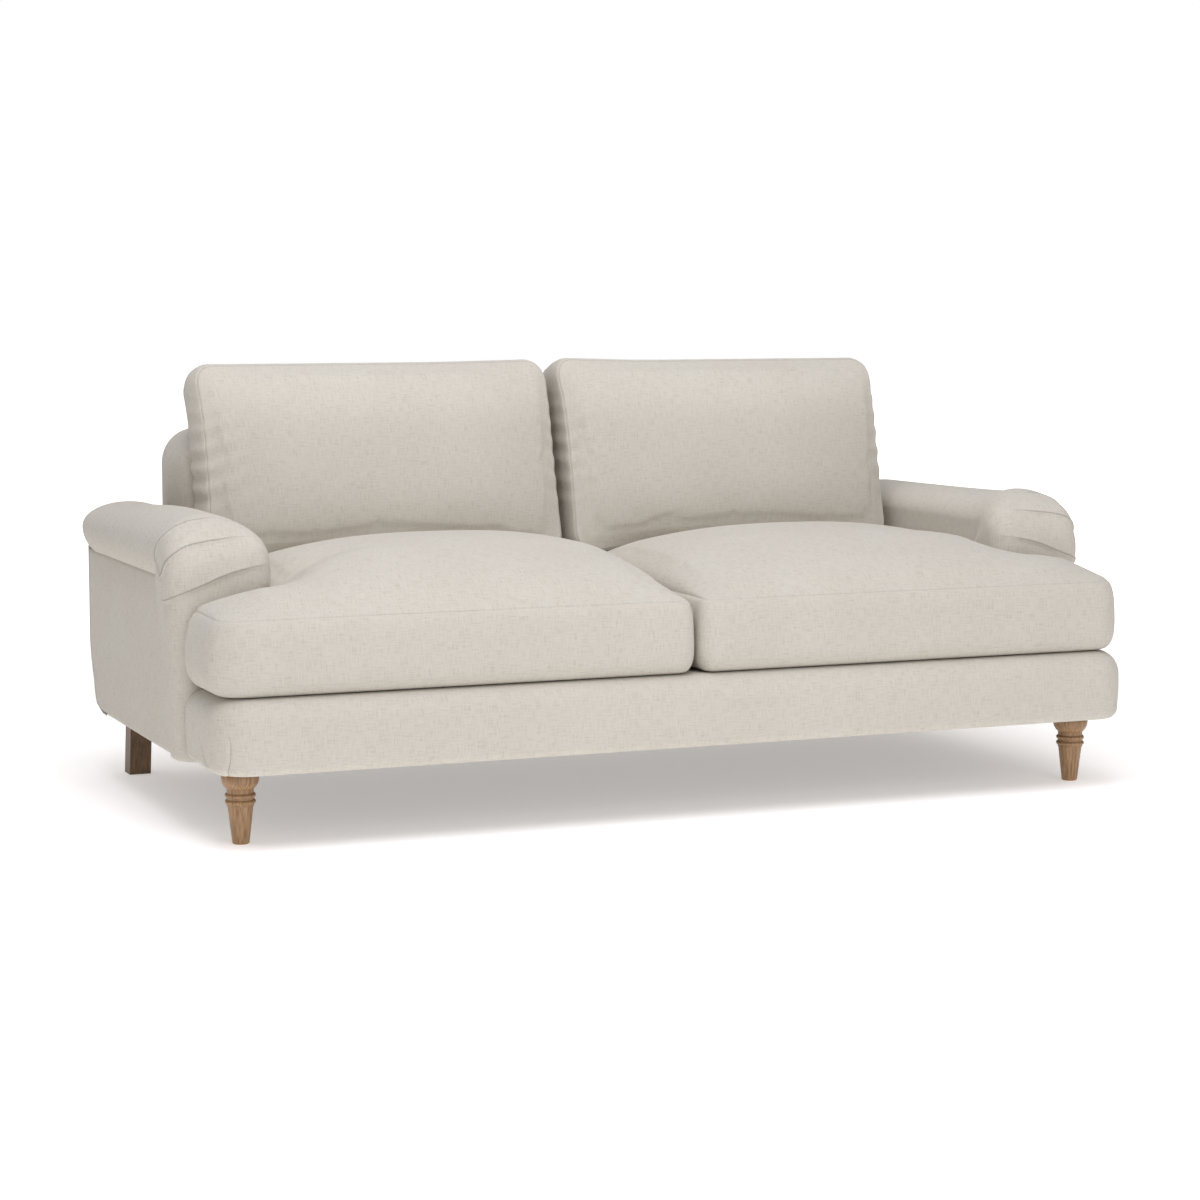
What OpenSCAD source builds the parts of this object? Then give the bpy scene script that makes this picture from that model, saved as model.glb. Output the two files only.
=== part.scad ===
// Cinema sofa: rolled arms, a padded front border, loose seat cushions that wrap in
// front of the arms, loose back cushions, turned front legs and raked square rear legs.
// Millimetres. +X is to the viewer's right, +Y to the back, +Z up. The origin is on the
// floor, at the centre of the footprint.

/* [Body] */
// Width across the two outside arm panels
body_w = 2098; // [1900:1:2500]
// Depth from the front of the border to the outside back
body_d = 1130; // [1100:1:1250]
// Height of the underside of the body above the floor
leg_h = 150; // [120:1:200]
// Height of the padded front border
border_h = 153; // [146:1:180]
// Depth of the back at deck height, from the inside back to the outside back
back_d = 294; // [280:1:340]

/* [Arms] */
// Thickness of each arm
arm_w = 179; // [172:1:210]
// Height of the arm from the underside of the body to the top of its roll
arm_h = 490; // [460:1:540]
// Distance from the front of the border to the front of the arms
arm_setback = 257; // [240:1:290]
// Depth of the arm front, from its face to its side seam
arm_front_d = 132; // [130:1:150]
// Width of the arm roll
roll_w = 200; // [192:1:230]
// Half the height of the arm roll
roll_r = 70; // [64:1:80]
// How far the roll stands out past the outside arm panel
roll_overhang = 21; // [12:1:30]

/* [Back] */
// Height of the frame back above the underside of the body
back_h = 635; // [600:1:680]
// Lean of the inside back and of the back cushions, in degrees
back_lean = 14; // [11:0.5:16]
// Radius of the frame back's top corners
back_corner_r = 80; // [50:1:110]

/* [Seat cushions] */
// Height of the top seam above the underside of the cushion
seat_seam_h = 155; // [130:1:175]
// Rise of the top above its seam along the cushion's sides
seat_side_rise = 50; // [30:1:65]
// Further rise of the crown in the middle
seat_crown = 73; // [40:1:90]
// Radius of the outer front corners, in plan
seat_corner_r = 70; // [50:1:90]

/* [Back cushions] */
// Height of each back cushion along its lean
back_cushion_h = 460; // [400:1:500]
// Thickness of the border between the two seams
back_cushion_t = 118; // [100:1:130]
// Swell of the front face past its seam
back_crown = 62; // [40:1:80]
// Radius of the corners
back_cushion_r = 52; // [35:1:70]

/* [Legs] */
// Distance from the front of the border to the centre of the front legs
front_leg_setback = 127; // [120:1:145]
// Distance from the centre of a front leg to the outside arm panel
front_leg_in = 84; // [80:1:100]
// Diameter of the front leg's bulb
bulb_d = 77.4; // [70:0.1:84]
// Diameter of the front leg's foot
foot_d = 34.6; // [30:0.1:42]
// Side of the square rear legs
rear_leg_w = 49; // [44:1:56]
// How far the foot of a rear leg stands behind its top
rear_leg_rake = 24; // [0:1:30]

/* [Hidden] */

// Colours of the covers, the timber, the foam and the steel
linen = "#cbc3b6";
timber = "#c8a878";
plywood = "#d3b888";
foam = "#e4dcc4";
steel = "#8d9093";
zinc = "#9a9da0";

// Smoothness of round solids, and of circles in outlines
$fn = 96;
// Overrun of every cut past the face that it opens
over = 5;
// Clearance of a fastener in its hole
fit_gap = 0.1;
// Clearance of a loose cushion above what it lies on
rest_gap = 0.3;
// Clearance of a loose cushion beside its neighbours
side_gap = 2;

// Timber frame
rail_t = 30;
rail_h = 118;
stretcher_h = 90;
post_d = 60;
arm_rail_w = 120;
arm_rail_t = 22;
arm_rail_drop = 33;
profile_t = 22;
block_leg = 100;
block_h = 45;
web_rail_h = 60;
web_rail_t = 24;
base_back_in = 82;

// Cloth, padding and panels
dust_t = 2;
dust_in = 6;
cover_t = 3;
border_front_t = 40;
border_side_t = 32;
border_in = 7;
border_plan_r = 77;
border_edge_r = 38;
border_lip = 95;
inside_arm_t = 25;
facing_t = 18;
arm_front_r = 42;
arm_nose_r = 130;
front_proud = 15;
// How far the outlines that round the arm front stand past the roll, so that they cross it
nose_past = 3;
panel_t = 4;
back_panel_t = 5;
back_wrap_r = 35;
inside_back_t = 46;
back_end_t = 24;
back_board_in = 14;
back_top_t = 20;
back_edge_r = 28;
tail_in = 38;
tail_h = 150;
tail_r = 50;

// Springs, clips, ties and webbing
spring_wire = 4;
spring_w = 50;
spring_wave = 60;
springs_per_seat = 6;
clip_w = 26;
clip_d = 13;
clip_t = 1.4;
tie_d = 3;
tie_shares = [0.36, 0.7];
web_w = 50;
web_t = 2;
webs_per_side = 5;

// Fasteners
bolt_r = 4;
bolt_in_leg = 45;
bolt_short = 7;
tee_barrel_r = 5.5;
tee_barrel_h = 12;
tee_flange_r = 9;
tee_flange_t = 1.5;
screw_r = 4;
screw_head_r = 8;
screw_head_t = 5;
screw_point = 6;
screw_shares = [0.55, 0.85];

// Turned front leg, from the foot up
foot_edge = 2;
taper_top_d = 52.4;
taper_top_z = 77.8;
ring_d = 62.2;
ring_round = 4.6;
ring_low_z = 85.8;
ring_high_z = 98.7;
groove_d = 55;
neck_d = 54.4;
neck_z = 112;
bulb_z = 135;
bulb_round = 30;

// Square rear leg
rear_leg_side_in = 90;
rear_leg_back_in = 122;

// Cushion forms: the rings run up from the underside to the middle of the top
seat_front_in = 19;
seat_side_in = 9;
seat_rear_gap = 6;
seat_inner_r = 40;
seat_notch_r = 14;
seat_edge_r = 45;
// Rings of the border: how far each is drawn in, as a share of the edge's radius, and its
// height as a share of the seam's
seat_border_shares = [[1, 0], [0.4, 0.02], [0.11, 0.12], [0, 0.32], [0.02, 0.55],
                      [0.05, 0.77], [0.16, 0.93], [0.34, 1]];
// Rings of the top, near its edge: how far in, and how much of the rise each has
seat_top_shares = [[0.48, 0.34], [0.8, 0.6], [1.3, 0.84]];
// Rings of the top's middle, as shares of the last of those
seat_hub_shares = [0.86, 0.7, 0.52, 0.33, 0.15];
seat_hub_share = 0.28;
wing_blend = 150;
crown_power = 2.5;
core_in = 28;
core_low = 18;
core_h = 105;
back_rear_crown = 12;
back_split = 8;
back_end_gap = 12;
back_draw = 5;
back_gap = 0.3;
back_sit = 12;
back_edge = 45;
back_crown_power = 2.4;
// Rings of the rear, the border and the front: inset as a share of the edge, and depth as
// a share of the border's thickness
back_border_shares = [[0.6, 0], [0.2, 0], [0.02, 0.01], [0.08, 0.08], [0.09, 0.5],
                      [0.08, 0.92], [0.02, 0.99], [0.14, 1], [0.5, 1]];
back_hub_shares = [0.85, 0.66, 0.44, 0.2];
back_core_in = 30;
back_core_margin = 18;
settle_steps = 12;
least_round = 2;
arc_steps = 5;
edge_step = 80;

// Zips
zip_l = 560;
zip_w = 26;
zip_t = 1.5;
teeth_w = 5;
teeth_t = 2;
groove_w = 32;
groove_deep = 12;
slider_l = 12;
slider_w = 9;
slider_t = 3;
tab_l = 24;
tab_w = 7;
tab_t = 1.2;
zip_gap = 0.4;
seat_zip_h = 86;

// Levels
deck_z = leg_h + border_h;
rail_z = leg_h + dust_t;
rail_top = rail_z + rail_h;
spring_top = rail_top + spring_wire;
deck_low = spring_top + tie_d;
roll_z = leg_h + arm_h - roll_r;
arm_rail_z = roll_z - arm_rail_drop;
back_z = leg_h + back_h;
block_top = rail_z + block_h;

// Places across and along the body
y_front = -body_d / 2;
y_rear = body_d / 2;
arm_out = body_w / 2;
arm_in = arm_out - arm_w;
arm_front_y = y_front + arm_setback;
arm_seam_y = arm_front_y + arm_front_d;
roll_x = arm_out + roll_overhang - roll_w / 2;
roll_flat = roll_w / 2 - roll_r;
lip_z = roll_z - sqrt(pow(roll_r, 2) - pow(arm_out - roll_x - roll_flat, 2));
border_out = arm_out - border_in;
border_x = border_out - border_plan_r;
border_y = y_front + border_plan_r;
border_end_y = arm_front_y - side_gap;
base_out = border_out - border_side_t;
base_in = base_out - rail_t;
base_front = y_front + border_front_t;
base_rear = y_rear - base_back_in;
inside_back_y = y_rear - back_d;
spring_rail_y = inside_back_y + inside_back_t - web_t;
front_post_y = arm_front_y + facing_t;
rear_post_y = base_rear - rail_t - post_d;
lean_run = tan(back_lean);
back_half = arm_in - fit_gap;
profile_x = back_half - back_end_t - profile_t / 2;
board_half = back_half - back_end_t - back_board_in;
panel_in_y = y_rear - back_panel_t;
front_leg_x = arm_out - front_leg_in;
front_leg_y = y_front + front_leg_setback;
rear_leg_x = arm_out - rear_leg_side_in;
rear_leg_y = y_rear - rear_leg_back_in;

// Seat cushion outline
seat_out = arm_out - seat_side_in;
seat_body = arm_in - side_gap;
seat_mid = side_gap / 2;
seat_y0 = y_front + seat_front_in;
seat_y1 = arm_front_y - side_gap;
seat_y2 = inside_back_y - seat_rear_gap;
seat_z = deck_z + rest_gap;
seat_yc = (seat_y0 + seat_y2) / 2;
seat_half_d = (seat_y2 - seat_y0) / 2;
seat_xc = (seat_body + seat_mid) / 2;
seat_hub = [seat_xc, seat_y0 + seat_half_d * seat_hub_share];
seat_zip_y = seat_y2 - groove_deep;
seat_zip_z = seat_z + seat_zip_h;

// Straight down the y axis when seen from the side: an outline of [y, z] becomes a solid
// of width w, centred on x
module side_extrude(w, x = 0)
    translate([x - w / 2, 0, 0]) rotate([90, 0, 90]) linear_extrude(w) children();

// An outline of [x, z] becomes a solid of depth d behind y
module front_extrude(y, d)
    translate([0, y + d, 0]) rotate([90, 0, 0]) linear_extrude(d) children();

// A box between two corners
module span(a, b) translate(a) cube(b - a);

// The same piece on the left (side -1) or on the right (side 1)
module on_side(side) if (side > 0) children(); else mirror([1, 0, 0]) children();

function inside_lean(z, out = 0) = inside_back_y + out + (z - deck_z) * lean_run;

// Timber frame
module front_rail() color(timber)
    span([-base_out, base_front, rail_z], [base_out, base_front + rail_t, rail_top]);

module back_rail() color(timber)
    span([-base_in, base_rear - rail_t, rail_z], [base_in, base_rear, rail_top]);

module spring_rail() color(timber)
    span([-base_in, spring_rail_y, rail_z], [base_in, spring_rail_y + rail_t, rail_top]);

module side_rail(side) color(timber) on_side(side) difference() {
    span([base_in, base_front + rail_t, rail_z], [base_out, base_rear, rail_top]);
    screw_places() screw_hole();
}

module centre_stretcher() color(timber)
    span([-rail_t / 2, base_front + rail_t, rail_z],
         [rail_t / 2, spring_rail_y, rail_z + stretcher_h]);

module corner_block_plan(y, turn)
    polygon([[base_in, y], [base_in - block_leg, y], [base_in, y + turn * block_leg]]);

module corner_blocks() color("#b8945f") for (side = [-1, 1]) on_side(side) difference() {
    translate([0, 0, rail_z]) linear_extrude(block_h) {
        corner_block_plan(base_front + rail_t, 1);
        corner_block_plan(base_rear - rail_t, -1);
    }
    leg_places() {
        translate([0, 0, leg_h - over]) cylinder(r = tee_barrel_r + fit_gap,
            h = dust_t + block_h + 2 * over);
        translate([0, 0, block_top - tee_flange_t]) cylinder(r = tee_flange_r + fit_gap,
            h = tee_flange_t + over);
    }
}

module arm_post(y, low) difference() {
    span([base_in - rail_t, y, low], [base_in, y + post_d, arm_rail_z]);
    screw_places() screw_hole();
}

module arm_front_post(side) color(timber) on_side(side) arm_post(front_post_y, rail_z);
module arm_rear_post(side) color(timber) on_side(side) arm_post(rear_post_y, block_top);

module arm_board()
    span([roll_x - arm_rail_w / 2, front_post_y, arm_rail_z],
         [roll_x + arm_rail_w / 2, rear_post_y + post_d, arm_rail_z + arm_rail_t]);

module arm_top_rail(side) color(timber) on_side(side) arm_board();

// Raked plywood profiles that carry the inside back
module back_profile(x) color(plywood) side_extrude(profile_t, x)
    polygon([[spring_rail_y, rail_top], [base_rear, rail_top], [panel_in_y, deck_z],
             [panel_in_y, back_z - back_top_t - profile_t],
             [inside_lean(back_z - back_top_t - profile_t, inside_back_t + web_t),
              back_z - back_top_t - profile_t],
             [inside_lean(deck_z, inside_back_t + web_t), deck_z],
             [spring_rail_y, deck_z]]);

module back_top_board() color(plywood)
    span([-board_half, inside_lean(back_z - back_top_t, inside_back_t + web_t),
          back_z - back_top_t - profile_t],
         [board_half, panel_in_y, back_z - back_top_t]);

module web_rail(z) for (side = [-1, 1]) side_extrude(profile_x - profile_t,
    side * profile_x / 2) polygon([
        [inside_lean(z, inside_back_t + web_t), z],
        [inside_lean(z, inside_back_t + web_t + web_rail_t), z],
        [inside_lean(z + web_rail_h, inside_back_t + web_t + web_rail_t), z + web_rail_h],
        [inside_lean(z + web_rail_h, inside_back_t + web_t), z + web_rail_h]]);

module back_upper_rail() color(timber) web_rail(back_z - back_top_t - profile_t - web_rail_h);
module back_lower_rail() color(timber) web_rail(deck_z);

// Coach screws through each arm post into its side rail
module screw_places() for (y = [front_post_y, rear_post_y], s = screw_shares)
    translate([base_in - rail_t, y + post_d / 2, rail_z + rail_h * s])
        rotate([0, 90, 0]) children();

module screw_hole() translate([0, 0, -over])
    cylinder(r = screw_r + fit_gap, h = 2 * rail_t - screw_point + over);

module arm_screws() color(steel) for (side = [-1, 1]) on_side(side) screw_places() {
    cylinder(r = screw_r, h = 2 * rail_t - screw_point);
    translate([0, 0, -screw_head_t]) cylinder(r = screw_head_r, h = screw_head_t, $fn = 6);
}

// Zigzag seat springs, from the front rail to the spring rail
spring_y0 = base_front + rail_t / 2;
spring_y1 = spring_rail_y + rail_t / 2;
spring_l = spring_y1 - spring_y0;
spring_turns = 2 * round(spring_l / spring_wave);
spring_step = spring_l / spring_turns;
seat_clear = arm_in - profile_t;

function zigzag(i, off) = [for (a = [-90 : 45 : 90])
    let (side = i % 2 == 0 ? 1 : -1, r = spring_step / 2 + off * side)
    [side * (spring_w / 2 - spring_step / 2 + r * cos(a)),
     spring_y0 + spring_step * (i + 0.5) + r * sin(a)]];

module spring_plan() polygon(concat(
    [for (i = [0 : spring_turns - 1]) each zigzag(i, spring_wire / 2)],
    [for (i = [spring_turns - 1 : -1 : 0])
        let (p = zigzag(i, -spring_wire / 2)) each [for (k = [len(p) - 1 : -1 : 0]) p[k]]]));

module spring_places() for (side = [-1, 1], i = [0 : springs_per_seat - 1])
    translate([side * seat_clear * (i + 0.5) / springs_per_seat, 0, 0]) children();

module seat_springs() color(steel) spring_places()
    translate([0, 0, rail_top]) linear_extrude(spring_wire) spring_plan();

// A clip hooks over the last bend of a spring, and is open towards the spring
module spring_clip() difference() {
    span([-clip_w / 2, -clip_d / 2, rail_top], [clip_w / 2, clip_d / 2, spring_top + clip_t]);
    span([-clip_w, -spring_wire / 2 - fit_gap, rail_top - over],
         [clip_w, clip_d, spring_top + fit_gap]);
}

module spring_clips() color(zinc) spring_places() {
    translate([0, spring_y0, 0]) spring_clip();
    translate([0, spring_y1, 0]) mirror([0, 1, 0]) spring_clip();
}

module spring_ties() color("#5f5a50") for (s = tie_shares)
    translate([-seat_clear, spring_y0 + spring_l * s, spring_top + tie_d / 2])
        rotate([0, 90, 0]) cylinder(d = tie_d, h = 2 * seat_clear);

// Upright straps between the two web rails
module back_webbing() color("#3f3d3a")
    for (side = [-1, 1], i = [1 : webs_per_side])
        side_extrude(web_w, side * profile_x * i / (webs_per_side + 1)) polygon([
            [inside_lean(deck_z, inside_back_t), deck_z],
            [inside_lean(deck_z, inside_back_t + web_t), deck_z],
            [inside_lean(back_z - back_top_t - profile_t, inside_back_t + web_t),
             back_z - back_top_t - profile_t],
            [inside_lean(back_z - back_top_t - profile_t, inside_back_t),
             back_z - back_top_t - profile_t]]);

// Padded deck under the seat cushions, wider in front of the arms
module seat_deck() color("#57524b") translate([0, 0, deck_low])
    linear_extrude(deck_z - deck_low) union() {
        translate([-base_out, y_front + border_lip])
            square([2 * base_out, arm_front_y - y_front - border_lip]);
        translate([-arm_in + fit_gap, arm_front_y - over])
            square([2 * arm_in - 2 * fit_gap, spring_rail_y - arm_front_y + over]);
    }

module dust_cover() color("#26262a") difference() {
    span([-base_out + dust_in, base_front + dust_in, leg_h],
         [base_out - dust_in, base_rear - dust_in, rail_z]);
    for (side = [-1, 1]) on_side(side) leg_places()
        translate([0, 0, leg_h - over]) cylinder(r = bolt_r + fit_gap, h = dust_t + 2 * over);
}

// Padded front border: its section runs along the front, round both corners and back to
// the arms. It is drawn as [x, z], with x out from the centre of the corner in plan
module border_section(d) {
    translate([0, d]) square([border_plan_r - border_edge_r, border_h - 2 * d]);
    translate([0, border_edge_r]) square([border_plan_r - d, border_h - 2 * border_edge_r]);
    for (z = [border_edge_r, border_h - border_edge_r])
        translate([border_plan_r - border_edge_r, z]) circle(border_edge_r - d);
}

module border_sweep() {
    translate([-border_x, border_y, leg_h]) rotate([90, 0, 90])
        linear_extrude(2 * border_x) mirror([1, 0]) children();
    for (side = [-1, 1]) on_side(side) {
        translate([border_x, border_end_y, leg_h]) rotate([90, 0, 0])
            linear_extrude(border_end_y - border_y) children();
        translate([border_x, border_y, leg_h]) rotate([0, 0, -90])
            rotate_extrude(angle = 90) children();
    }
}

// The top of the border reaches back under the seat cushions
module border_top(z) span([-border_x, border_y, z], [border_x, y_front + border_lip, deck_z]);

module border_inside() {
    span([-base_out, base_front, leg_h - over], [base_out, y_rear, deck_low]);
    span([-base_out, y_front + border_lip, deck_low - over], [base_out, y_rear, deck_z + over]);
}

module border_foam() color(foam) difference() {
    union() {
        border_sweep() border_section(cover_t);
        translate([0, 0, -cover_t]) border_top(deck_low);
    }
    border_inside();
}

module border_cover() color(linen) {
    difference() {
        border_sweep() difference() {
            border_section(0);
            border_section(cover_t);
        }
        border_inside();
    }
    border_top(deck_z - cover_t);
}

// Arms: the roll's section is two circles with a flat between them
module roll_section(r = roll_r) {
    for (s = [-1, 1]) translate([roll_x + s * roll_flat, roll_z]) circle(r);
    translate([roll_x - roll_flat, roll_z - r]) square([2 * roll_flat, 2 * r]);
}

module roll_body() {
    front_extrude(arm_seam_y, y_rear - roll_w / 2 - arm_seam_y) roll_section();
    translate([roll_x, y_rear - roll_w / 2, roll_z]) rotate_extrude() {
        translate([roll_flat, 0]) intersection() {
            circle(roll_r);
            translate([0, -roll_r]) square([roll_r, 2 * roll_r]);
        }
        translate([0, -roll_r]) square([roll_flat, 2 * roll_r]);
    }
}

module arm_timber() {
    arm_board();
    span([base_in - rail_t, front_post_y, rail_z], [base_in, front_post_y + post_d, arm_rail_z]);
    span([base_in - rail_t, rear_post_y, rail_z], [base_in, rear_post_y + post_d, arm_rail_z]);
}

module arm_roll(side) color(linen) on_side(side) difference() {
    roll_body();
    arm_timber();
}

module arm_front_outline() {
    roll_section();
    translate([arm_in, rail_top]) square([arm_w + front_proud, roll_z - rail_top]);
    translate([base_out, leg_h])
        square([arm_out + front_proud - base_out, rail_top + over - leg_h]);
}

module arm_front_plan() {
    half = roll_w / 2 + nose_past;
    translate([roll_x - half, arm_front_y + arm_front_r])
        square([2 * half, arm_front_d]);
    translate([roll_x - half + arm_front_r, arm_front_y])
        square([2 * (half - arm_front_r), arm_front_d]);
    for (s = [-1, 1]) translate([roll_x + s * (half - arm_front_r), arm_front_y + arm_front_r])
        circle(arm_front_r);
}

module arm_front_side() {
    top = roll_z + roll_r + nose_past;
    translate([arm_front_y, leg_h - over])
        square([2 * arm_nose_r, top - arm_nose_r - leg_h + over]);
    translate([arm_front_y + arm_nose_r, leg_h - over]) square([arm_nose_r, top - leg_h + over]);
    translate([arm_front_y + arm_nose_r, top - arm_nose_r]) circle(arm_nose_r);
}

module arm_front(side) color(linen) on_side(side) difference() {
    intersection() {
        front_extrude(arm_front_y, arm_front_d) arm_front_outline();
        translate([0, 0, leg_h - over]) linear_extrude(arm_h + 2 * over) arm_front_plan();
        side_extrude(2 * arm_w, roll_x) arm_front_side();
    }
    arm_timber();
}

module inside_arm(side) color(linen) on_side(side) difference() {
    span([arm_in, arm_seam_y, rail_top], [arm_in + inside_arm_t, rear_post_y, roll_z]);
    roll_body();
}

// Side outline of the body, drawn in at the foot of the back
module body_side(d) {
    x1 = y_rear - tail_in - tail_r;
    polygon([[arm_seam_y, leg_h + d], [x1, leg_h + d], [x1, leg_h + tail_r],
             [y_rear - tail_in - d, leg_h + tail_r], [y_rear - d, leg_h + tail_h],
             [y_rear - d, back_z - d], [arm_seam_y, back_z - d]]);
    translate([x1, leg_h + tail_r]) circle(tail_r - d);
}

module outside_arm(side) color(linen) on_side(side) difference() {
    side_extrude(panel_t, arm_out - panel_t / 2) intersection() {
        body_side(0);
        translate([arm_seam_y, leg_h])
            square([base_rear - arm_seam_y, roll_z - leg_h]);
    }
    roll_body();
}

module back_corners(half, top, r) {
    translate([-half, 0]) square([2 * half, top - r]);
    translate([r - half, 0]) square([2 * (half - r), top]);
    for (s = [-1, 1]) translate([s * (half - r), top - r]) circle(r);
}

module wrap_plan(d) {
    translate([-arm_out + d, arm_seam_y])
        square([2 * (arm_out - d), y_rear - back_wrap_r - arm_seam_y]);
    translate([-arm_out + back_wrap_r, arm_seam_y])
        square([2 * (arm_out - back_wrap_r), y_rear - d - arm_seam_y]);
    for (s = [-1, 1]) translate([s * (arm_out - back_wrap_r), y_rear - back_wrap_r])
        circle(back_wrap_r - d);
}

module outside_back() color(linen) {
    difference() {
        intersection() {
            side_extrude(2 * arm_out) body_side(0);
            translate([0, 0, leg_h]) linear_extrude(lip_z - leg_h) wrap_plan(0);
        }
        intersection() {
            side_extrude(2 * arm_out) body_side(back_panel_t);
            translate([0, 0, leg_h - over]) linear_extrude(back_h) wrap_plan(back_panel_t);
        }
        span([-arm_out - over, arm_seam_y - over, leg_h - over],
             [arm_out + over, base_rear, back_z]);
        for (side = [-1, 1]) on_side(side) roll_body();
    }
    front_extrude(panel_in_y, back_panel_t) intersection() {
        back_corners(back_half, back_z, back_corner_r);
        translate([-back_half, lip_z]) square([2 * back_half, back_z - lip_z]);
    }
}

// Inside back: a padded, raked wrap over the top and ends of the profiles
module inside_back_side() {
    edge_y = inside_lean(back_z - back_edge_r) + back_edge_r / cos(back_lean);
    edge_z = back_z - back_edge_r;
    polygon(concat(
        [[panel_in_y, back_z], [panel_in_y, deck_z], [inside_lean(deck_z), deck_z]],
        [for (k = [0 : arc_steps]) let (a = back_lean + (90 - back_lean) * k / arc_steps)
            [edge_y - back_edge_r * cos(a), edge_z + back_edge_r * sin(a)]]));
}

module back_cavity(w, top) side_extrude(w) polygon([
    [inside_lean(deck_z - over, inside_back_t), deck_z - over],
    [inside_lean(top, inside_back_t), top], [y_rear, top], [y_rear, deck_z - over]]);

module inside_back() color(linen) difference() {
    intersection() {
        side_extrude(2 * back_half) inside_back_side();
        front_extrude(inside_back_y, y_rear - inside_back_y)
            back_corners(back_half, back_z, back_corner_r);
    }
    back_cavity(2 * (back_half - back_end_t), back_z - back_top_t - profile_t);
    back_cavity(2 * board_half, back_z - back_top_t);
}

// Legs
module leg_places() {
    translate([front_leg_x, front_leg_y, 0]) children();
    translate([rear_leg_x, rear_leg_y, 0]) children();
}

module leg_bore() translate([0, 0, leg_h - bolt_in_leg])
    cylinder(r = bolt_r + fit_gap, h = bolt_in_leg + over);

module front_leg(side) color("#a9855c") on_side(side)
    translate([front_leg_x, front_leg_y, 0]) difference() {
        rotate_extrude() intersection() {
            union() {
                polygon([[0, 0], [foot_d / 2 - foot_edge, 0], [foot_d / 2, foot_edge],
                         [taper_top_d / 2, taper_top_z], [groove_d / 2, taper_top_z],
                         [groove_d / 2, ring_high_z], [neck_d / 2, ring_high_z],
                         [neck_d / 2, neck_z], [0, neck_z]]);
                for (z = [ring_low_z, ring_high_z])
                    translate([ring_d / 2 - ring_round, z]) circle(ring_round);
                translate([bulb_d / 2 - bulb_round, bulb_z]) circle(bulb_round);
                translate([0, bulb_z - bulb_round / 2])
                    square([bulb_d / 2 - bulb_round, bulb_round]);
            }
            square([bulb_d, leg_h]);
        }
        leg_bore();
    }

module rear_leg(side) color("#5d4934") on_side(side)
    translate([rear_leg_x, rear_leg_y, 0]) difference() {
        side_extrude(rear_leg_w) polygon([
            [-rear_leg_w / 2, leg_h], [rear_leg_w / 2, leg_h],
            [rear_leg_w / 2 + rear_leg_rake, 0], [-rear_leg_w / 2 + rear_leg_rake, 0]]);
        leg_bore();
    }

module hanger_bolts() color(steel) for (side = [-1, 1]) on_side(side) leg_places()
    translate([0, 0, leg_h - bolt_in_leg])
        cylinder(r = bolt_r, h = bolt_in_leg + dust_t + block_h - bolt_short);

module tee_nuts() color(zinc) for (side = [-1, 1]) on_side(side) leg_places()
    difference() {
        union() {
            translate([0, 0, block_top - tee_flange_t])
                cylinder(r = tee_flange_r, h = tee_flange_t);
            translate([0, 0, block_top - tee_barrel_h])
                cylinder(r = tee_barrel_r, h = tee_barrel_h);
        }
        translate([0, 0, block_top - tee_barrel_h - over])
            cylinder(r = bolt_r + fit_gap, h = tee_barrel_h + 2 * over);
    }

// Cushion forms. An outline's corners turn left, or right at a notch; each is rounded,
// and the whole outline is drawn in by d
function left_of(v) = [-v[1], v[0]];
function unit(v) = v / norm(v);

function corner_points(a, b, c, d, radius) =
    let (n1 = left_of(unit(b - a)), n2 = left_of(unit(c - b)),
         turn = cross(b - a, c - b) > 0 ? 1 : -1,
         round_r = max(radius - turn * d, least_round),
         centre = b + (d + turn * round_r) * (n1 + n2))
    [for (k = [0 : arc_steps])
        centre - turn * round_r * (n1 * cos(90 * k / arc_steps) + n2 * sin(90 * k / arc_steps))];

function between(a, b, steps) = steps < 2 ? [] :
    [for (k = [1 : steps - 1]) a + (b - a) * k / steps];

function outline(corners, radii, d) =
    let (n = len(corners),
         arcs = [for (i = [0 : n - 1]) corner_points(corners[(i + n - 1) % n], corners[i],
                                                     corners[(i + 1) % n], d, radii[i])])
    [for (i = [0 : n - 1]) each concat(arcs[i],
        between(arcs[i][arc_steps], arcs[(i + 1) % n][0],
                round(norm(corners[(i + 1) % n] - corners[i]) / edge_step)))];

// Closed surface over a stack of rings, with a point at each end
function ring_faces(n, m) = concat(
    [for (i = [0 : m - 2], k = [0 : n - 1])
        let (a = i * n + k, b = i * n + (k + 1) % n, c = b + n, d = a + n)
        each [[a, c, b], [a, d, c]]],
    [for (k = [0 : n - 1]) [n * m, k, (k + 1) % n]],
    [for (k = [0 : n - 1]) [n * m + 1, (m - 1) * n + (k + 1) % n, (m - 1) * n + k]]);

module ring_solid(rings, low, high) polyhedron(
    points = concat([for (ring = rings) each ring], [low, high]),
    faces = ring_faces(len(rings[0]), len(rings)), convexity = 4);

// Seat cushion: its body lies between the arms, and a wing wraps in front of one arm
seat_corners = [[seat_mid, seat_y0], [seat_out, seat_y0], [seat_out, seat_y1],
                [seat_body, seat_y1], [seat_body, seat_y2], [seat_mid, seat_y2]];
seat_radii = [seat_inner_r, seat_corner_r, seat_inner_r, seat_notch_r, seat_inner_r,
              seat_inner_r];

function smooth(t) = let (c = max(0, min(1, t))) c * c * (3 - 2 * c);
function seat_edge(y) =
    seat_body + (seat_out - seat_body) * smooth((seat_y1 + wing_blend - y) / wing_blend);
function seat_rise(p) =
    let (half = (seat_edge(p[1]) - seat_mid) / 2,
         u = min(1, abs(p[0] - seat_mid - half) / half),
         v = min(1, abs(p[1] - seat_yc) / seat_half_d))
    (seat_side_rise + seat_crown * (1 - pow(u, crown_power))) * (1 - pow(v, crown_power));
function seat_top(p, lift = 1) = seat_z + seat_seam_h + lift * seat_rise(p);
function at_height(p, z) = [p[0], p[1], z];

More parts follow.
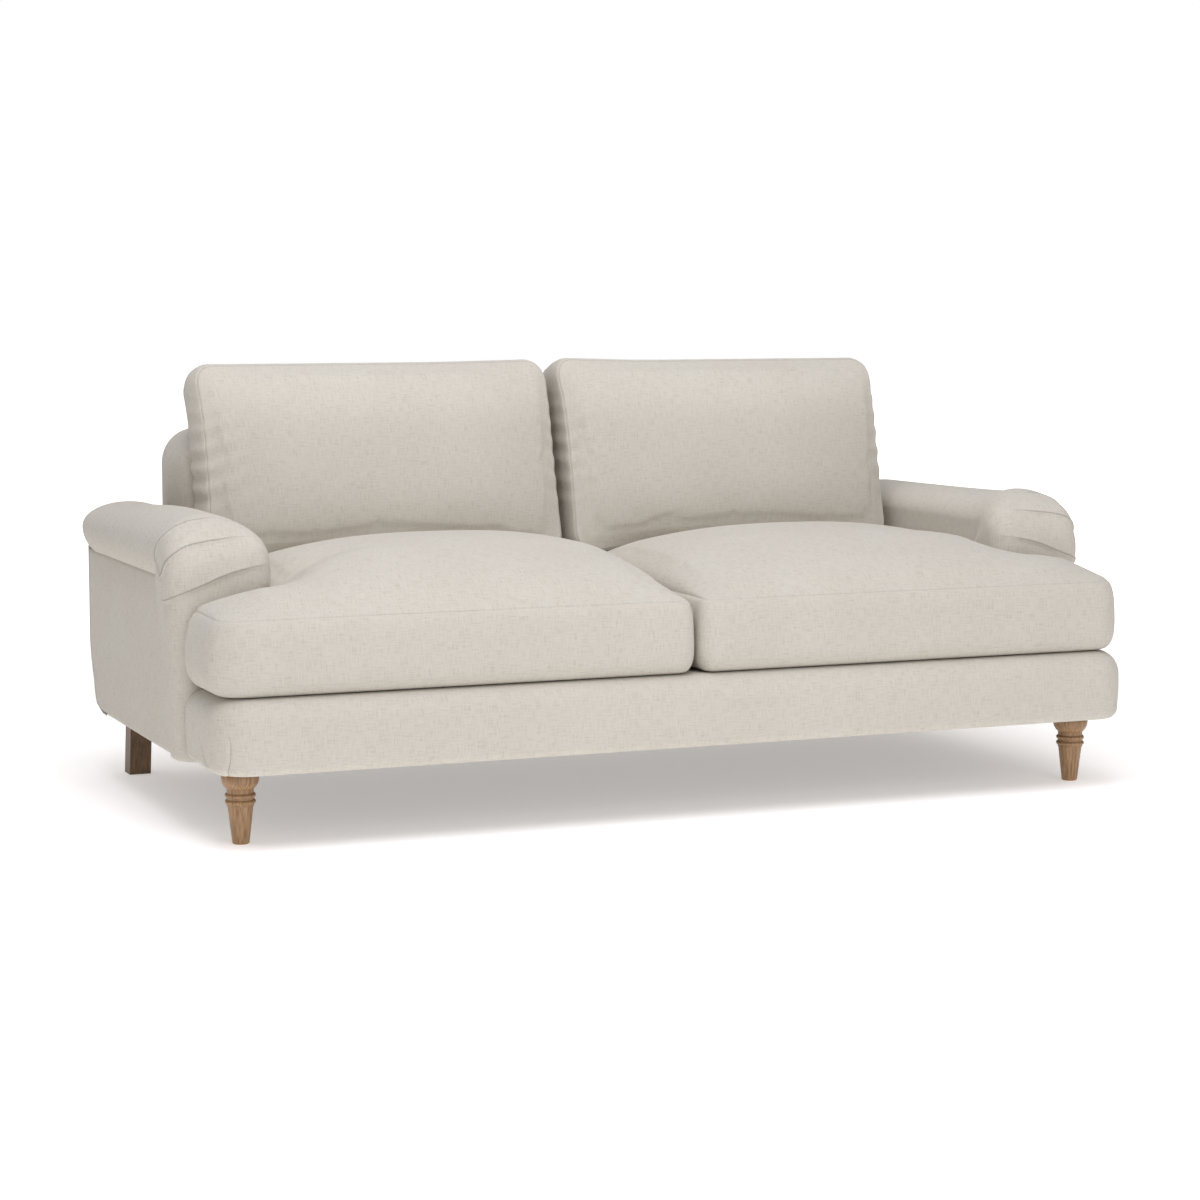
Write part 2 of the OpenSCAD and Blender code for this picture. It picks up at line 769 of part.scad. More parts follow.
module seat_form() {
    last = len(seat_top_shares) - 1;
    inner = outline(seat_corners, seat_radii, seat_top_shares[last][0] * seat_edge_r);
    ring_solid(concat(
        [for (s = seat_border_shares) [for (p = outline(seat_corners, seat_radii,
            s[0] * seat_edge_r)) at_height(p, seat_z + s[1] * seat_seam_h)]],
        [for (s = seat_top_shares) [for (p = outline(seat_corners, seat_radii,
            s[0] * seat_edge_r)) at_height(p, seat_top(p, s[1]))]],
        [for (s = seat_hub_shares) [for (q = inner) let (p = seat_hub + s * (q - seat_hub))
            at_height(p, seat_top(p))]]),
        at_height(seat_hub, seat_z), at_height(seat_hub, seat_top(seat_hub)));
}

module seat_core_body() translate([0, 0, seat_z + core_low]) linear_extrude(core_h)
    polygon([[seat_mid + core_in, seat_y0 + core_in], [seat_out - core_in, seat_y0 + core_in],
             [seat_out - core_in, seat_y1 - core_in], [seat_body - core_in, seat_y1 - core_in],
             [seat_body - core_in, seat_y2 - core_in], [seat_mid + core_in, seat_y2 - core_in]]);

module seat_cushion(side) color(linen) on_side(side) difference() {
    seat_form();
    seat_core_body();
    translate([seat_xc, seat_zip_y, seat_zip_z]) zip_groove();
}

module seat_core(side) color(foam) on_side(side) seat_core_body();

// Zips run along x, with the tape's back on y = 0 and the slider behind it
module zip_groove() translate([-zip_l / 2 - fit_gap, 0, -groove_w / 2])
    cube([zip_l + 2 * fit_gap, groove_deep + over, groove_w]);

module zip_chain() {
    translate([-zip_l / 2, 0, -zip_w / 2]) cube([zip_l, zip_t, zip_w]);
    translate([-zip_l / 2, zip_t, -teeth_w / 2]) cube([zip_l, teeth_t, teeth_w]);
}

module zip_slider() translate([zip_l / 2 - slider_l, zip_t + teeth_t + zip_gap, 0]) {
    translate([0, 0, -slider_w / 2]) cube([slider_l, slider_t, slider_w]);
    translate([-tab_l + slider_l / 2, slider_t, -tab_w / 2]) cube([tab_l, tab_t, tab_w]);
}

module seat_zip(side) color("#b9b09f") on_side(side)
    translate([seat_xc, seat_zip_y, seat_zip_z]) zip_chain();

module seat_slider(side) color(zinc) on_side(side)
    translate([seat_xc, seat_zip_y, seat_zip_z]) zip_slider();

// Back cushions stand on the seat cushions and lean on the inside back. Their own axes
// are x, y to the rear from the rear seam, and z up the lean from the bottom seam
back_x0 = back_split / 2;
back_x1 = arm_in - back_end_gap;
back_xc = (back_x0 + back_x1) / 2;
back_half_w = (back_x1 - back_x0) / 2;
back_corners_xz = [[back_x0, 0], [back_x1, 0], [back_x1, back_cushion_h],
                   [back_x0, back_cushion_h]];
back_radii = [for (i = [0 : 3]) back_cushion_r];

// Distance from the deck up the lean to the bottom seam, found by letting the front seam
// down until it meets the crown of the seat; the drawn-in bottom then lets it down further
function lean_point(forward, up) =
    [inside_back_y - forward * cos(back_lean) + up * sin(back_lean),
     deck_z + forward * sin(back_lean) + up * cos(back_lean)];
function settle(up, n) = n == 0 ? up :
    let (p = lean_point(back_rear_crown + back_gap + back_cushion_t, up))
    settle(up + (seat_top([seat_xc, p[0]]) - p[1]) / cos(back_lean), n - 1);
back_up = settle(seat_seam_h, settle_steps) - back_sit;
back_foot = lean_point(back_rear_crown + back_gap, back_up);

module back_place() translate([0, back_foot[0], back_foot[1]]) rotate([-back_lean, 0, 0])
    children();

function back_swell(p, lift) =
    let (u = min(1, abs(p[0] - back_xc) / back_half_w),
         v = min(1, abs(p[1] * 2 / back_cushion_h - 1)))
    lift * (1 - pow(u, back_crown_power)) * (1 - pow(v, back_crown_power));

// A point of a ring at depth t in front of the rear seam; the long edges are drawn in
// between the corners
function back_point(p, t) =
    let (u = (p[0] - back_xc) / back_half_w, v = p[1] * 2 / back_cushion_h - 1,
         swell = t > 0 ? back_swell(p, back_crown) : -back_swell(p, back_rear_crown))
    [p[0] - back_draw * u * (1 - v * v), -t - (abs(t - back_cushion_t / 2)
        < back_cushion_t / 2 ? 0 : swell), p[1] - back_draw * v * (1 - u * u)];

module back_form() {
    last = len(back_border_shares) - 1;
    hub = [back_xc, back_cushion_h / 2];
    rear = outline(back_corners_xz, back_radii, back_border_shares[0][0] * back_edge);
    front = outline(back_corners_xz, back_radii, back_border_shares[last][0] * back_edge);
    ring_solid(concat(
        [for (k = [len(back_hub_shares) - 1 : -1 : 0]) [for (q = rear)
            back_point(hub + back_hub_shares[k] * (q - hub), 0)]],
        [for (s = back_border_shares) [for (p = outline(back_corners_xz, back_radii,
            s[0] * back_edge)) back_point(p, s[1] * back_cushion_t)]],
        [for (s = back_hub_shares) [for (q = front)
            back_point(hub + s * (q - hub), back_cushion_t)]]),
        back_point(hub, 0), back_point(hub, back_cushion_t));
}

module back_core_body() translate([back_x0 + back_core_in, back_core_margin - back_cushion_t,
    back_core_in]) cube([back_x1 - back_x0 - 2 * back_core_in,
    back_cushion_t - 2 * back_core_margin, back_cushion_h - 2 * back_core_in]);

module back_zip_place() translate([back_xc, -back_cushion_t / 2, back_draw + groove_deep])
    rotate([-90, 0, 0]) children();

module back_cushion(side) color(linen) on_side(side) back_place() difference() {
    back_form();
    back_core_body();
    back_zip_place() zip_groove();
}

module back_core(side) color(foam) on_side(side) back_place() back_core_body();

module back_zip(side) color("#b9b09f") on_side(side) back_place() back_zip_place()
    zip_chain();

module back_slider(side) color(zinc) on_side(side) back_place() back_zip_place()
    zip_slider();

front_rail();
back_rail();
spring_rail();
side_rail(-1);  // side_rail_left
side_rail(1);  // side_rail_right
centre_stretcher();
corner_blocks();
arm_front_post(-1);  // arm_front_post_left
arm_front_post(1);  // arm_front_post_right
arm_rear_post(-1);  // arm_rear_post_left
arm_rear_post(1);  // arm_rear_post_right
arm_top_rail(-1);  // arm_top_rail_left
arm_top_rail(1);  // arm_top_rail_right
back_profile(-profile_x);  // back_profile_left
back_profile(0);  // back_profile_centre
back_profile(profile_x);  // back_profile_right
back_top_board();
back_upper_rail();
back_lower_rail();
arm_screws();
seat_springs();
spring_clips();
spring_ties();
back_webbing();
seat_deck();
dust_cover();
border_foam();
border_cover();
arm_front(-1);  // arm_front_left
arm_front(1);  // arm_front_right
arm_roll(-1);  // arm_roll_left
arm_roll(1);  // arm_roll_right
inside_arm(-1);  // inside_arm_left
inside_arm(1);  // inside_arm_right
outside_arm(-1);  // outside_arm_left
outside_arm(1);  // outside_arm_right
inside_back();
outside_back();
front_leg(-1);  // front_leg_left
front_leg(1);  // front_leg_right
rear_leg(-1);  // rear_leg_left
rear_leg(1);  // rear_leg_right
hanger_bolts();
tee_nuts();
seat_cushion(-1);  // seat_cushion_left
seat_cushion(1);  // seat_cushion_right
seat_core(-1);  // seat_core_left
seat_core(1);  // seat_core_right
seat_zip(-1);  // seat_zip_left
seat_zip(1);  // seat_zip_right
seat_slider(-1);  // seat_slider_left
seat_slider(1);  // seat_slider_right
back_cushion(-1);  // back_cushion_left
back_cushion(1);  // back_cushion_right
back_core(-1);  // back_core_left
back_core(1);  // back_core_right
back_zip(-1);  // back_zip_left
back_zip(1);  // back_zip_right
back_slider(-1);  // back_slider_left
back_slider(1);  // back_slider_right
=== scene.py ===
# %% [markdown]
# # A two-seat sofa with rolled arms, in linen
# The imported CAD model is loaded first. It is the fixed frame: every size and place below
# comes from it, and every new piece is put where a CAD solid already is. A CAD piece whose
# shape is right, such as a turned leg, only gets a better finish. Soft pieces are made anew.

# %% Load the frame
import math

import bmesh
import bpy
import numpy as np
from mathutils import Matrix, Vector


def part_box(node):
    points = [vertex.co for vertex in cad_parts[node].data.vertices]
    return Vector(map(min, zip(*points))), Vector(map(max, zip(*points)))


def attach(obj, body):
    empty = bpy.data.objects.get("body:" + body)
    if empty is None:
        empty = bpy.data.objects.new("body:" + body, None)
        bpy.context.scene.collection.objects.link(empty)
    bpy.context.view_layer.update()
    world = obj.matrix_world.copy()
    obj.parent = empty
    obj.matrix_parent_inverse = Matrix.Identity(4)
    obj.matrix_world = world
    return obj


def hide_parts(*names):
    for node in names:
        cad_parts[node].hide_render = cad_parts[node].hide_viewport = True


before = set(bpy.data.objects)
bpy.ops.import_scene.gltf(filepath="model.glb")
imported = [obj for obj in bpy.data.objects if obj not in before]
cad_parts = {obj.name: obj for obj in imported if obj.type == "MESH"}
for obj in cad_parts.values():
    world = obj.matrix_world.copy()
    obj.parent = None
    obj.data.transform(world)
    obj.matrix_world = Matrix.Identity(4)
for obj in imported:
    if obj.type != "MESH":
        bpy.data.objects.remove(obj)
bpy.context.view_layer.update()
scene = bpy.context.scene

# %% [markdown]
# ## The camera
# The sofa was seen from its front left, a little above the cushions, through a long lens.
# An 85 mm lens on a 36 mm square frame gives the same slight perspective: the vanishing
# lines of the border and the legs were used to work out where the camera stood.

# %% Camera
CAMERA_AT = (-2.4497, -5.8748, 1.1039)
CAMERA_DOWN, CAMERA_ROUND = 6.262, 22.608

camera_data = bpy.data.cameras.new("camera")
camera_data.lens, camera_data.sensor_width = 85, 36
camera_data.clip_end = 60
camera = bpy.data.objects.new("camera", camera_data)
camera.location = CAMERA_AT
camera.rotation_euler = (math.radians(90 - CAMERA_DOWN), 0, math.radians(-CAMERA_ROUND))
scene.collection.objects.link(camera)
scene.camera = camera
print("camera at", CAMERA_AT)

# %% [markdown]
# ## Colour and nodes
# Screen colours are written in hex and are not linear, so one function turns them into the
# linear values that a shader works with. One more adds any node, with its settings and its
# links, and a few short ones give the nodes that come back in every material, so that a
# material reads as a short list.

# %% Helpers for materials
def colour(hex_text):
    """sRGB hex to linear: a value under 0.04 is divided by 12.92, and any other is moved by
    0.055, divided by 1.055 and raised to the power 2.4."""
    srgb = np.array([int(hex_text[i:i + 2], 16) / 255 for i in (1, 3, 5)])
    linear = np.where(srgb < 0.04045, srgb / 12.92, ((srgb + 0.055) / 1.055) ** 2.4)
    return (*linear, 1.0)


def add(tree, kind, links=None, **settings):
    """Adds a node. Settings that name a socket set its value, others set the node itself;
    links give the socket that feeds each input."""
    node = tree.nodes.new(kind)
    for key, value in settings.items():
        if hasattr(node, key):
            setattr(node, key, value)
    for key, value in (links or {}).items():
        if isinstance(value, bpy.types.NodeSocket):
            tree.links.new(value, node.inputs[key])
        else:
            node.inputs[key].default_value = value
    return node


def new_material(name):
    """An empty material with a Principled shader, and its tree."""
    material = bpy.data.materials.new(name)
    material.use_nodes = True
    tree = material.node_tree
    return material, tree, tree.nodes["Principled BSDF"]


def ramp(tree, factor, stops):
    """A colour ramp with the given (place, hex) stops, read as linear colours."""
    node = add(tree, "ShaderNodeValToRGB", {"Fac": factor})
    elements = node.color_ramp.elements
    while len(elements) < len(stops):
        elements.new(0.5)
    for element, (place, hex_text) in zip(elements, stops):
        element.position, element.color = place, colour(hex_text)
    return node.outputs["Color"]


def result(tree, kind, operation, *inputs):
    """What a Math or VectorMath node makes of its inputs."""
    return add(tree, "ShaderNode" + kind, dict(enumerate(inputs)),
               operation=operation).outputs[0]


def remap(tree, value, low, high, start=0.0, end=1.0):
    """low where the value is start, high where it is end, and even steps between."""
    return add(tree, "ShaderNodeMapRange", {"Value": value, "From Min": start, "From Max": end,
               "To Min": low, "To Max": high}).outputs["Result"]


def noise(tree, where, scale=1.0, detail=2.0, roughness=0.5, distortion=0.0):
    """Smooth noise from 0 to 1, with scale lumps to the metre."""
    return add(tree, "ShaderNodeTexNoise", {
        "Vector": where, "Scale": scale, "Detail": detail, "Roughness": roughness,
        "Distortion": distortion}).outputs["Fac"]


def object_place(tree):
    """The point's place on its own piece, in metres."""
    return add(tree, "ShaderNodeTexCoord").outputs["Object"]


def stretched(tree, where, lengths):
    """Coordinates in which each of the three lengths, in metres, becomes 1."""
    return add(tree, "ShaderNodeMapping", {
        "Vector": where, "Scale": [1 / one for one in lengths]}).outputs["Vector"]


def surface(tree, shader, values, height=None, strength=0.0, distance=0.0):
    """Sets or links the shader's sockets, and tilts its shading by a height, if any: a full
    step of the height counts as distance, in metres, times strength."""
    for key, value in values.items():
        if isinstance(value, bpy.types.NodeSocket):
            tree.links.new(value, shader.inputs[key])
        else:
            shader.inputs[key].default_value = value
    if height is not None:
        bump = add(tree, "ShaderNodeBump", {"Height": height, "Strength": strength,
                   "Distance": distance})
        tree.links.new(bump.outputs["Normal"], shader.inputs["Normal"])


print("a middle grey in linear light:", [round(float(v), 3) for v in colour("#808080")])

# %% [markdown]
# ## The floor and the light
# A studio picture on white. A very large soft light hangs over the front of the sofa and
# lights its tops and fronts alike, a second one stands in front and to the right, and a weak
# one on the left opens the shade of the side panel. The surround is dim and warm near the
# floor, bright and cool above. The floor is white paper that glows more with distance, so it
# is white all round and keeps only the soft shadow under the sofa.

# %% Floor, surround and lights
FLOOR_HALF = 30.0
GLOW_FROM, GLOW_TO = 2.0, 4.5            # metres from the middle of the sofa
GLOW_NEAR, GLOW_FAR = 0.42, 1.0          # what the camera sees there
GLOW_ON_SOFA = 0.4                       # what the paper sends to the sofa
SKY_LOW, SKY_HIGH = 0.06, 0.66           # strength at the horizon and straight up

floor_mesh = bpy.data.meshes.new("floor")
floor_mesh.from_pydata([(x * FLOOR_HALF, y * FLOOR_HALF, 0)
                        for x, y in ((-1, -1), (1, -1), (1, 1), (-1, 1))], [], [(0, 1, 2, 3)])
floor = bpy.data.objects.new("floor", floor_mesh)
scene.collection.objects.link(floor)

# matt paper: no shine, and a tooth too faint to see as such
paper, tree, shader = new_material("white_backdrop_paper")
away = add(tree, "ShaderNodeVectorMath", {0: object_place(tree)},
           operation="LENGTH").outputs["Value"]
seen_glow = remap(tree, away, GLOW_NEAR, GLOW_FAR, GLOW_FROM, GLOW_TO)
from_camera = add(tree, "ShaderNodeLightPath").outputs["Is Camera Ray"]
surface(tree, shader, {"Base Color": colour("#fbfbfb"), "Roughness": 0.9,
                       "Emission Color": colour("#fffaf5"),
                       "Emission Strength": remap(tree, from_camera, GLOW_ON_SOFA, seen_glow)},
        noise(tree, object_place(tree), 900.0), 0.05, 0.0002)
floor_mesh.materials.append(paper)

world = bpy.data.worlds.new("studio")
world.use_nodes = True
tree = world.node_tree
upward = add(tree, "ShaderNodeSeparateXYZ",
             {0: add(tree, "ShaderNodeTexCoord").outputs["Generated"]}).outputs["Z"]
surface(tree, tree.nodes["Background"], {
    "Color": ramp(tree, upward, [(0.0, "#fff1e0"), (0.8, "#f3f6ff")]),
    "Strength": remap(tree, upward, SKY_LOW, SKY_HIGH)})
seen = add(tree, "ShaderNodeBackground", {"Color": colour("#ffffff"), "Strength": 1.0})
from_camera = add(tree, "ShaderNodeLightPath").outputs["Is Camera Ray"]
both = add(tree, "ShaderNodeMixShader", {0: from_camera,
           1: tree.nodes["Background"].outputs[0], 2: seen.outputs[0]})
tree.links.new(both.outputs[0], tree.nodes["World Output"].inputs["Surface"])
scene.world = world
scene.view_settings.view_transform = "Standard"


def soft_light(name, at, towards, size, watts):
    """A square area light at one point, aimed at another."""
    data = bpy.data.lights.new(name, "AREA")
    data.size, data.energy, data.color = size, watts, colour("#fdfbff")[:3]
    light = bpy.data.objects.new(name, data)
    light.location = at
    light.rotation_euler = (Vector(towards) - Vector(at)).to_track_quat("-Z", "Y").to_euler()
    scene.collection.objects.link(light)


soft_light("key", (0.9, -5.4, 2.3), (0, 0, 0.5), 3.2, 52)
soft_light("fill", (-3.6, -4.2, 0.9), (0, 0, 0.4), 2.2, 12)
soft_light("overhead", (-0.7, -1.3, 4.1), (-0.2, 0, 0.5), 3.2, 108)

# %% [markdown]
# ## Cloth
# The cover is a linen-look plain weave: slubby yarns, thicker in places, cross at right
# angles, so the surface shows short level and upright streaks, over a slow drift between two
# close tones of warm grey. Real threads are under a millimetre apart, too fine to show here,
# so the weave is drawn at 2.4 mm and the streaks at 2.1 mm by 26 mm. The pattern follows each
# piece's own UV map, in metres, because the cloth was cut flat and then bent round the form.
# A stitched line is far narrower than the cells of any piece, so the piece only keeps how far
# each point is from the line, and the material draws it: darker, as painted shade of its
# groove, and pressed in.

# %% Linen
THREAD = 0.0024                     # drawn spacing of the threads, in metres
SLUB_LONG, SLUB_WIDE = 0.026, 0.0021
LINE_FALL = 590                     # a line fades by this share per metre: over 1.7 mm
LINE_PAINTED_SHADE, LINE_DEEP = 0.42, 1.6    # the share of painted shade off the colour, and its depth in weave heights
WAVE_SHARE = 3.18                   # makes a wave texture's crests one pitch apart


def sewn_line(tree):
    """1 on a stitched line and 0 from 1.7 mm beside it: a tent over the distances that
    sew_lines() keeps on the mesh, or the marks of a box cushion's seam rings."""
    gap, kept = (add(tree, "ShaderNodeAttribute", attribute_name=name).outputs["Vector"]
                 for name in ("sewn_gap", "sewn_strength"))
    tent = result(tree, "VectorMath", "MULTIPLY_ADD", result(tree, "VectorMath", "ABSOLUTE", gap),
                  (-LINE_FALL,) * 3, (1, 1, 1))
    over = result(tree, "VectorMath", "MAXIMUM", tent, (0, 0, 0))
    drawn = result(tree, "VectorMath", "MULTIPLY", over, kept)
    marks = add(tree, "ShaderNodeAttribute", attribute_name="seam").outputs["Fac"]
    strongest = remap(tree, marks, 0.0, 0.8, 0.3, 1.0)
    for line in add(tree, "ShaderNodeSeparateXYZ", {0: drawn}).outputs:
        strongest = result(tree, "Math", "MAXIMUM", strongest, line)
    return strongest


def crossed_waves(tree, where, pitch, distortion, detail):
    """The product of two sets of waves at right angles: 1 where two threads cross."""
    return result(tree, "Math", "MULTIPLY", *[
        add(tree, "ShaderNodeTexWave", {"Vector": where, "Scale": 1 / (pitch * WAVE_SHARE),
            "Distortion": distortion, "Detail": detail},
            bands_direction=axis).outputs["Fac"] for axis in "XY"])


def mix(tree, how, share, first, second):
    """Two colours mixed: share is the second one's."""
    return add(tree, "ShaderNodeMix", {"Factor": share, 6: first, 7: second},
               data_type="RGBA", blend_type=how).outputs[2]


def linen(name, base, warm, shade, light):
    """Plain-weave linen. The colour is a slow mix of two tones, darkened and lightened by
    streaks along both thread directions, and darkened along sewn lines and seams as painted
    shade of their grooves; the bump is the weave plus the streaks, pressed in along the lines."""
    material, tree, shader = new_material(name)
    flat = add(tree, "ShaderNodeTexCoord").outputs["UV"]
    streaks = result(tree, "Math", "ADD", *[
        noise(tree, stretched(tree, flat, lengths), roughness=0.55)
        for lengths in ((SLUB_LONG, SLUB_WIDE, 1), (SLUB_WIDE, SLUB_LONG, 1))])
    drift = noise(tree, object_place(tree), 5.5, 3.0, 0.6)
    tone = ramp(tree, drift, [(0.38, base), (0.62, warm)])
    streak = remap(tree, streaks, 0.0, 1.0, 0.6, 1.4)
    threads = ramp(tree, streak, [(0.0, shade), (0.5, "#ffffff"), (1.0, "#ffffff")])
    cloth = mix(tree, "MIX", 0.28, mix(tree, "MULTIPLY", 1.0, tone, threads),
                mix(tree, "MIX", streak, tone, colour(light)))
    line = sewn_line(tree)
    # painted shade: the colour is darkened along sewn lines and seams, where their grooves lie in
    # shade
    share = result(tree, "Math", "MULTIPLY_ADD", line, -LINE_PAINTED_SHADE, 1.0)
    shown = add(tree, "ShaderNodeVectorMath", {0: cloth, 3: share}, operation="SCALE")
    raised = result(tree, "Math", "ADD", crossed_waves(tree, flat, THREAD, 0.6, 1.0), streaks)
    surface(tree, shader, {"Base Color": shown.outputs[0], "Roughness": 0.88, "IOR": 1.45,
                           "Specular IOR Level": 0.25, "Sheen Weight": 0.12,
                           "Sheen Roughness": 0.6},
            result(tree, "Math", "MULTIPLY_ADD", line, -LINE_DEEP, raised), 0.35, 0.0006)
    return material


# matt, dry and slightly uneven: short streaks of thicker yarn, and a faint nap at the edges
cover_linen = linen("slub_linen_cover", "#c9c4b8", "#c7c1b5", "#e0dfda", "#e0ded6")
print("cloth:", cover_linen.name)

# %% [markdown]
# ## From numbers to a mesh
# Every soft piece below is one or more grids of points worked out with numpy. The grids of a
# piece are put into one mesh, equal points are merged, and the UV map keeps each panel's own
# flat coordinates, in metres.

# %% Mesh helpers
OTHER_CUT = np.array([3.7, 1.9])         # metres along the bolt
SAME_POINT, NO_LENGTH = 2e-5, 1e-6       # metres


def make_piece(name, points, quads, flat, seam=None, side=1):
    """points (n,3) in metres, quads (m,4), flat (m,4,2) the cloth's own coordinates, seam (n)
    the marks of sewn edges. A piece on the left is the mirror image, so its x changes sign,
    its faces turn round, and its cloth is cut from another place."""
    points = np.array(points, float)
    if side < 0:
        points[:, 0] *= -1
        quads, flat = quads[:, ::-1], flat[:, ::-1]
        flat = flat + OTHER_CUT
    mesh = bpy.data.meshes.new(name)
    mesh.from_pydata(points.tolist(), [], quads.tolist())
    layer = mesh.uv_layers.new(name="cloth")
    layer.data.foreach_set("uv", flat.reshape(-1).astype(np.float32))
    if seam is not None:
        mesh.attributes.new("seam", "FLOAT", "POINT").data.foreach_set(
            "value", np.asarray(seam, np.float32))
    work = bmesh.new()
    work.from_mesh(mesh)
    bmesh.ops.remove_doubles(work, verts=work.verts, dist=SAME_POINT)
    bmesh.ops.dissolve_degenerate(work, edges=work.edges, dist=NO_LENGTH)
    work.to_mesh(mesh)
    work.free()
    mesh.polygons.foreach_set("use_smooth", [True] * len(mesh.polygons))
    mesh.update()
    obj = bpy.data.objects.new(name, mesh)
    scene.collection.objects.link(obj)
    return obj


def grid_quads(rows, columns, first=0):
    """Corner numbers of the cells of a rows x columns grid of points."""
    number = first + np.arange(rows * columns).reshape(rows, columns)
    return np.stack([number[:-1, :-1], number[:-1, 1:], number[1:, 1:], number[1:, :-1]],
                    -1).reshape(-1, 4)


def grid_flat(points):
    """Cloth coordinates of a grid, as running lengths along its middle row and column."""
    rows, columns = points.shape[:2]
    across = np.linalg.norm(np.diff(points[rows // 2], axis=0), axis=1) / 1000
    along = np.linalg.norm(np.diff(points[:, columns // 2], axis=0), axis=1) / 1000
    u = np.concatenate([[0], np.cumsum(across)])
    v = np.concatenate([[0], np.cumsum(along)])
    flat = np.stack(np.meshgrid(u, v), -1)
    return np.stack([flat[:-1, :-1], flat[:-1, 1:], flat[1:, 1:], flat[1:, :-1]],
                    2).reshape(-1, 4, 2)


def grid_piece(name, grid, flip=False, seam=None, side=1):
    """A piece from one grid of points, in mm. flip turns its faces the other way."""
    quads, flat = grid_quads(*grid.shape[:2]), grid_flat(grid)
    if flip:
        quads, flat = quads[:, ::-1], flat[:, ::-1]
    return make_piece(name, grid.reshape(-1, 3) / 1000, quads, flat, seam, side)


def evaluated(obj):
    """The mesh of obj with its modifiers applied, in their place."""
    graph = bpy.context.evaluated_depsgraph_get()
    mesh = bpy.data.meshes.new_from_object(obj.evaluated_get(graph))
    obj.modifiers.clear()
    old, obj.data = obj.data, mesh
    bpy.data.meshes.remove(old)
    return obj


def read_points(mesh, what="co"):
    """The places of a mesh's points, or their normals, as an array (n,3)."""
    flat = np.empty(len(mesh.vertices) * 3, np.float32)
    if what == "co":
        mesh.vertices.foreach_get("co", flat)
    else:
        mesh.vertex_normals.foreach_get("vector", flat)
    return flat.reshape(-1, 3).astype(float)


def write_points(mesh, points):
    """Moves a mesh's points to the given places."""
    mesh.vertices.foreach_set("co", points.reshape(-1).astype(np.float32))
    mesh.update()


def dress(obj, material, body, *nodes, slot="linen_cover", fill=None):
    """Gives a piece its finish, its body and the CAD nodes that it stands for; slot is not used.
    """
    obj.data.materials.clear()
    obj.data.materials.append(material)
    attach(obj, body)
    if nodes:
        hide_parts(*nodes)
    print(obj.name, len(obj.data.polygons), "faces")


# %% [markdown]
# ## Box cushions
# A box cushion is two panels of cloth joined by a border. Its outline has rounded corners,
# and each ring of the border is that outline, drawn in by some amount. The panels are filled
# with a grid of squares whose rim is the last ring: the grid is laid out square, and its
# inner points are then averaged with their neighbours until they are evenly spread, so there
# is no pole in the middle of a panel.

# %% Outline, filling and box form
LEAST = 2.0          # smallest radius of a drawn-in corner, in mm
CHUNK = 4000         # points measured at a time, to spare memory


def outline(corners, radii, inset, steps):
    """Points round a polygon drawn in by inset. A point at a distance a from a corner that
    is less than the corner's radius r lies on its arc, at 45 degrees x (1 - a / r) from the
    arc's middle. At an inner corner the arc's radius grows with the inset."""
    corners = np.array(corners, float)
    count = len(corners)
    ahead = np.roll(corners, -1, 0) - corners
    length = np.linalg.norm(ahead, axis=1)
    ahead /= length[:, None]
    left = np.stack([-ahead[:, 1], ahead[:, 0]], 1)
    points = []
    for side in range(count):
        run = np.arange(steps[side]) / steps[side] * length[side]
        p = corners[side] + run[:, None] * ahead[side] + inset * left[side]
        for corner, away, share in ((side, run, 1), ((side + 1) % count,
                                                      length[side] - run, -1)):
            n1, n2 = left[corner - 1], left[corner]
            turn = 1 if ahead[corner - 1][0] * ahead[corner][1] \
                - ahead[corner - 1][1] * ahead[corner][0] > 0 else -1
            reach = max(radii[corner], inset + LEAST) if turn > 0 else radii[corner]
            arc = reach - turn * inset
            q = (0.5 + share * 0.5 * away / reach) * math.pi / 2
            centre = corners[corner] + (inset + turn * arc) * (n1 + n2)
            bend = centre - turn * arc * (n1 * np.cos(q)[:, None] + n2 * np.sin(q)[:, None])
            p = np.where((away < reach)[:, None], bend, p)
        points.append(p)
    return np.concatenate(points)


def filling(corners, cell):
    """Square grid inside a polygon with square corners. Gives the grid's points, its kept
    cells, and the grid numbers of the points round its rim, in the outline's order."""
    corners = np.array(corners, float)
    lines = []
    for axis in (0, 1):
        marks = np.unique(corners[:, axis])
        parts = [np.linspace(a, b, max(2, round((b - a) / cell)) + 1)[:-1]
                 for a, b in zip(marks[:-1], marks[1:])]
        lines.append(np.concatenate(parts + [marks[-1:]]))
    xs, ys = lines
    grid = np.stack(np.meshgrid(xs, ys), -1)
    middle = (grid[:-1, :-1] + grid[1:, 1:]) / 2
    inside = np.zeros(middle.shape[:2], bool)
    for a, b in zip(corners, np.roll(corners, -1, 0)):
        if a[0] == b[0]:
            between = (middle[..., 1] - a[1]) * (middle[..., 1] - b[1]) < 0
            inside ^= between & (middle[..., 0] < a[0])
    rim, steps = [], []
    for a, b in zip(corners, np.roll(corners, -1, 0)):
        i0, j0 = np.abs(xs - a[0]).argmin(), np.abs(ys - a[1]).argmin()
        i1, j1 = np.abs(xs - b[0]).argmin(), np.abs(ys - b[1]).argmin()
        count = abs(i1 - i0) + abs(j1 - j0)
        k = np.arange(count)
        rim.append((j0 + np.sign(j1 - j0) * k) * len(xs) + i0 + np.sign(i1 - i0) * k)
        steps.append(count)
    return grid, inside, np.concatenate(rim), steps


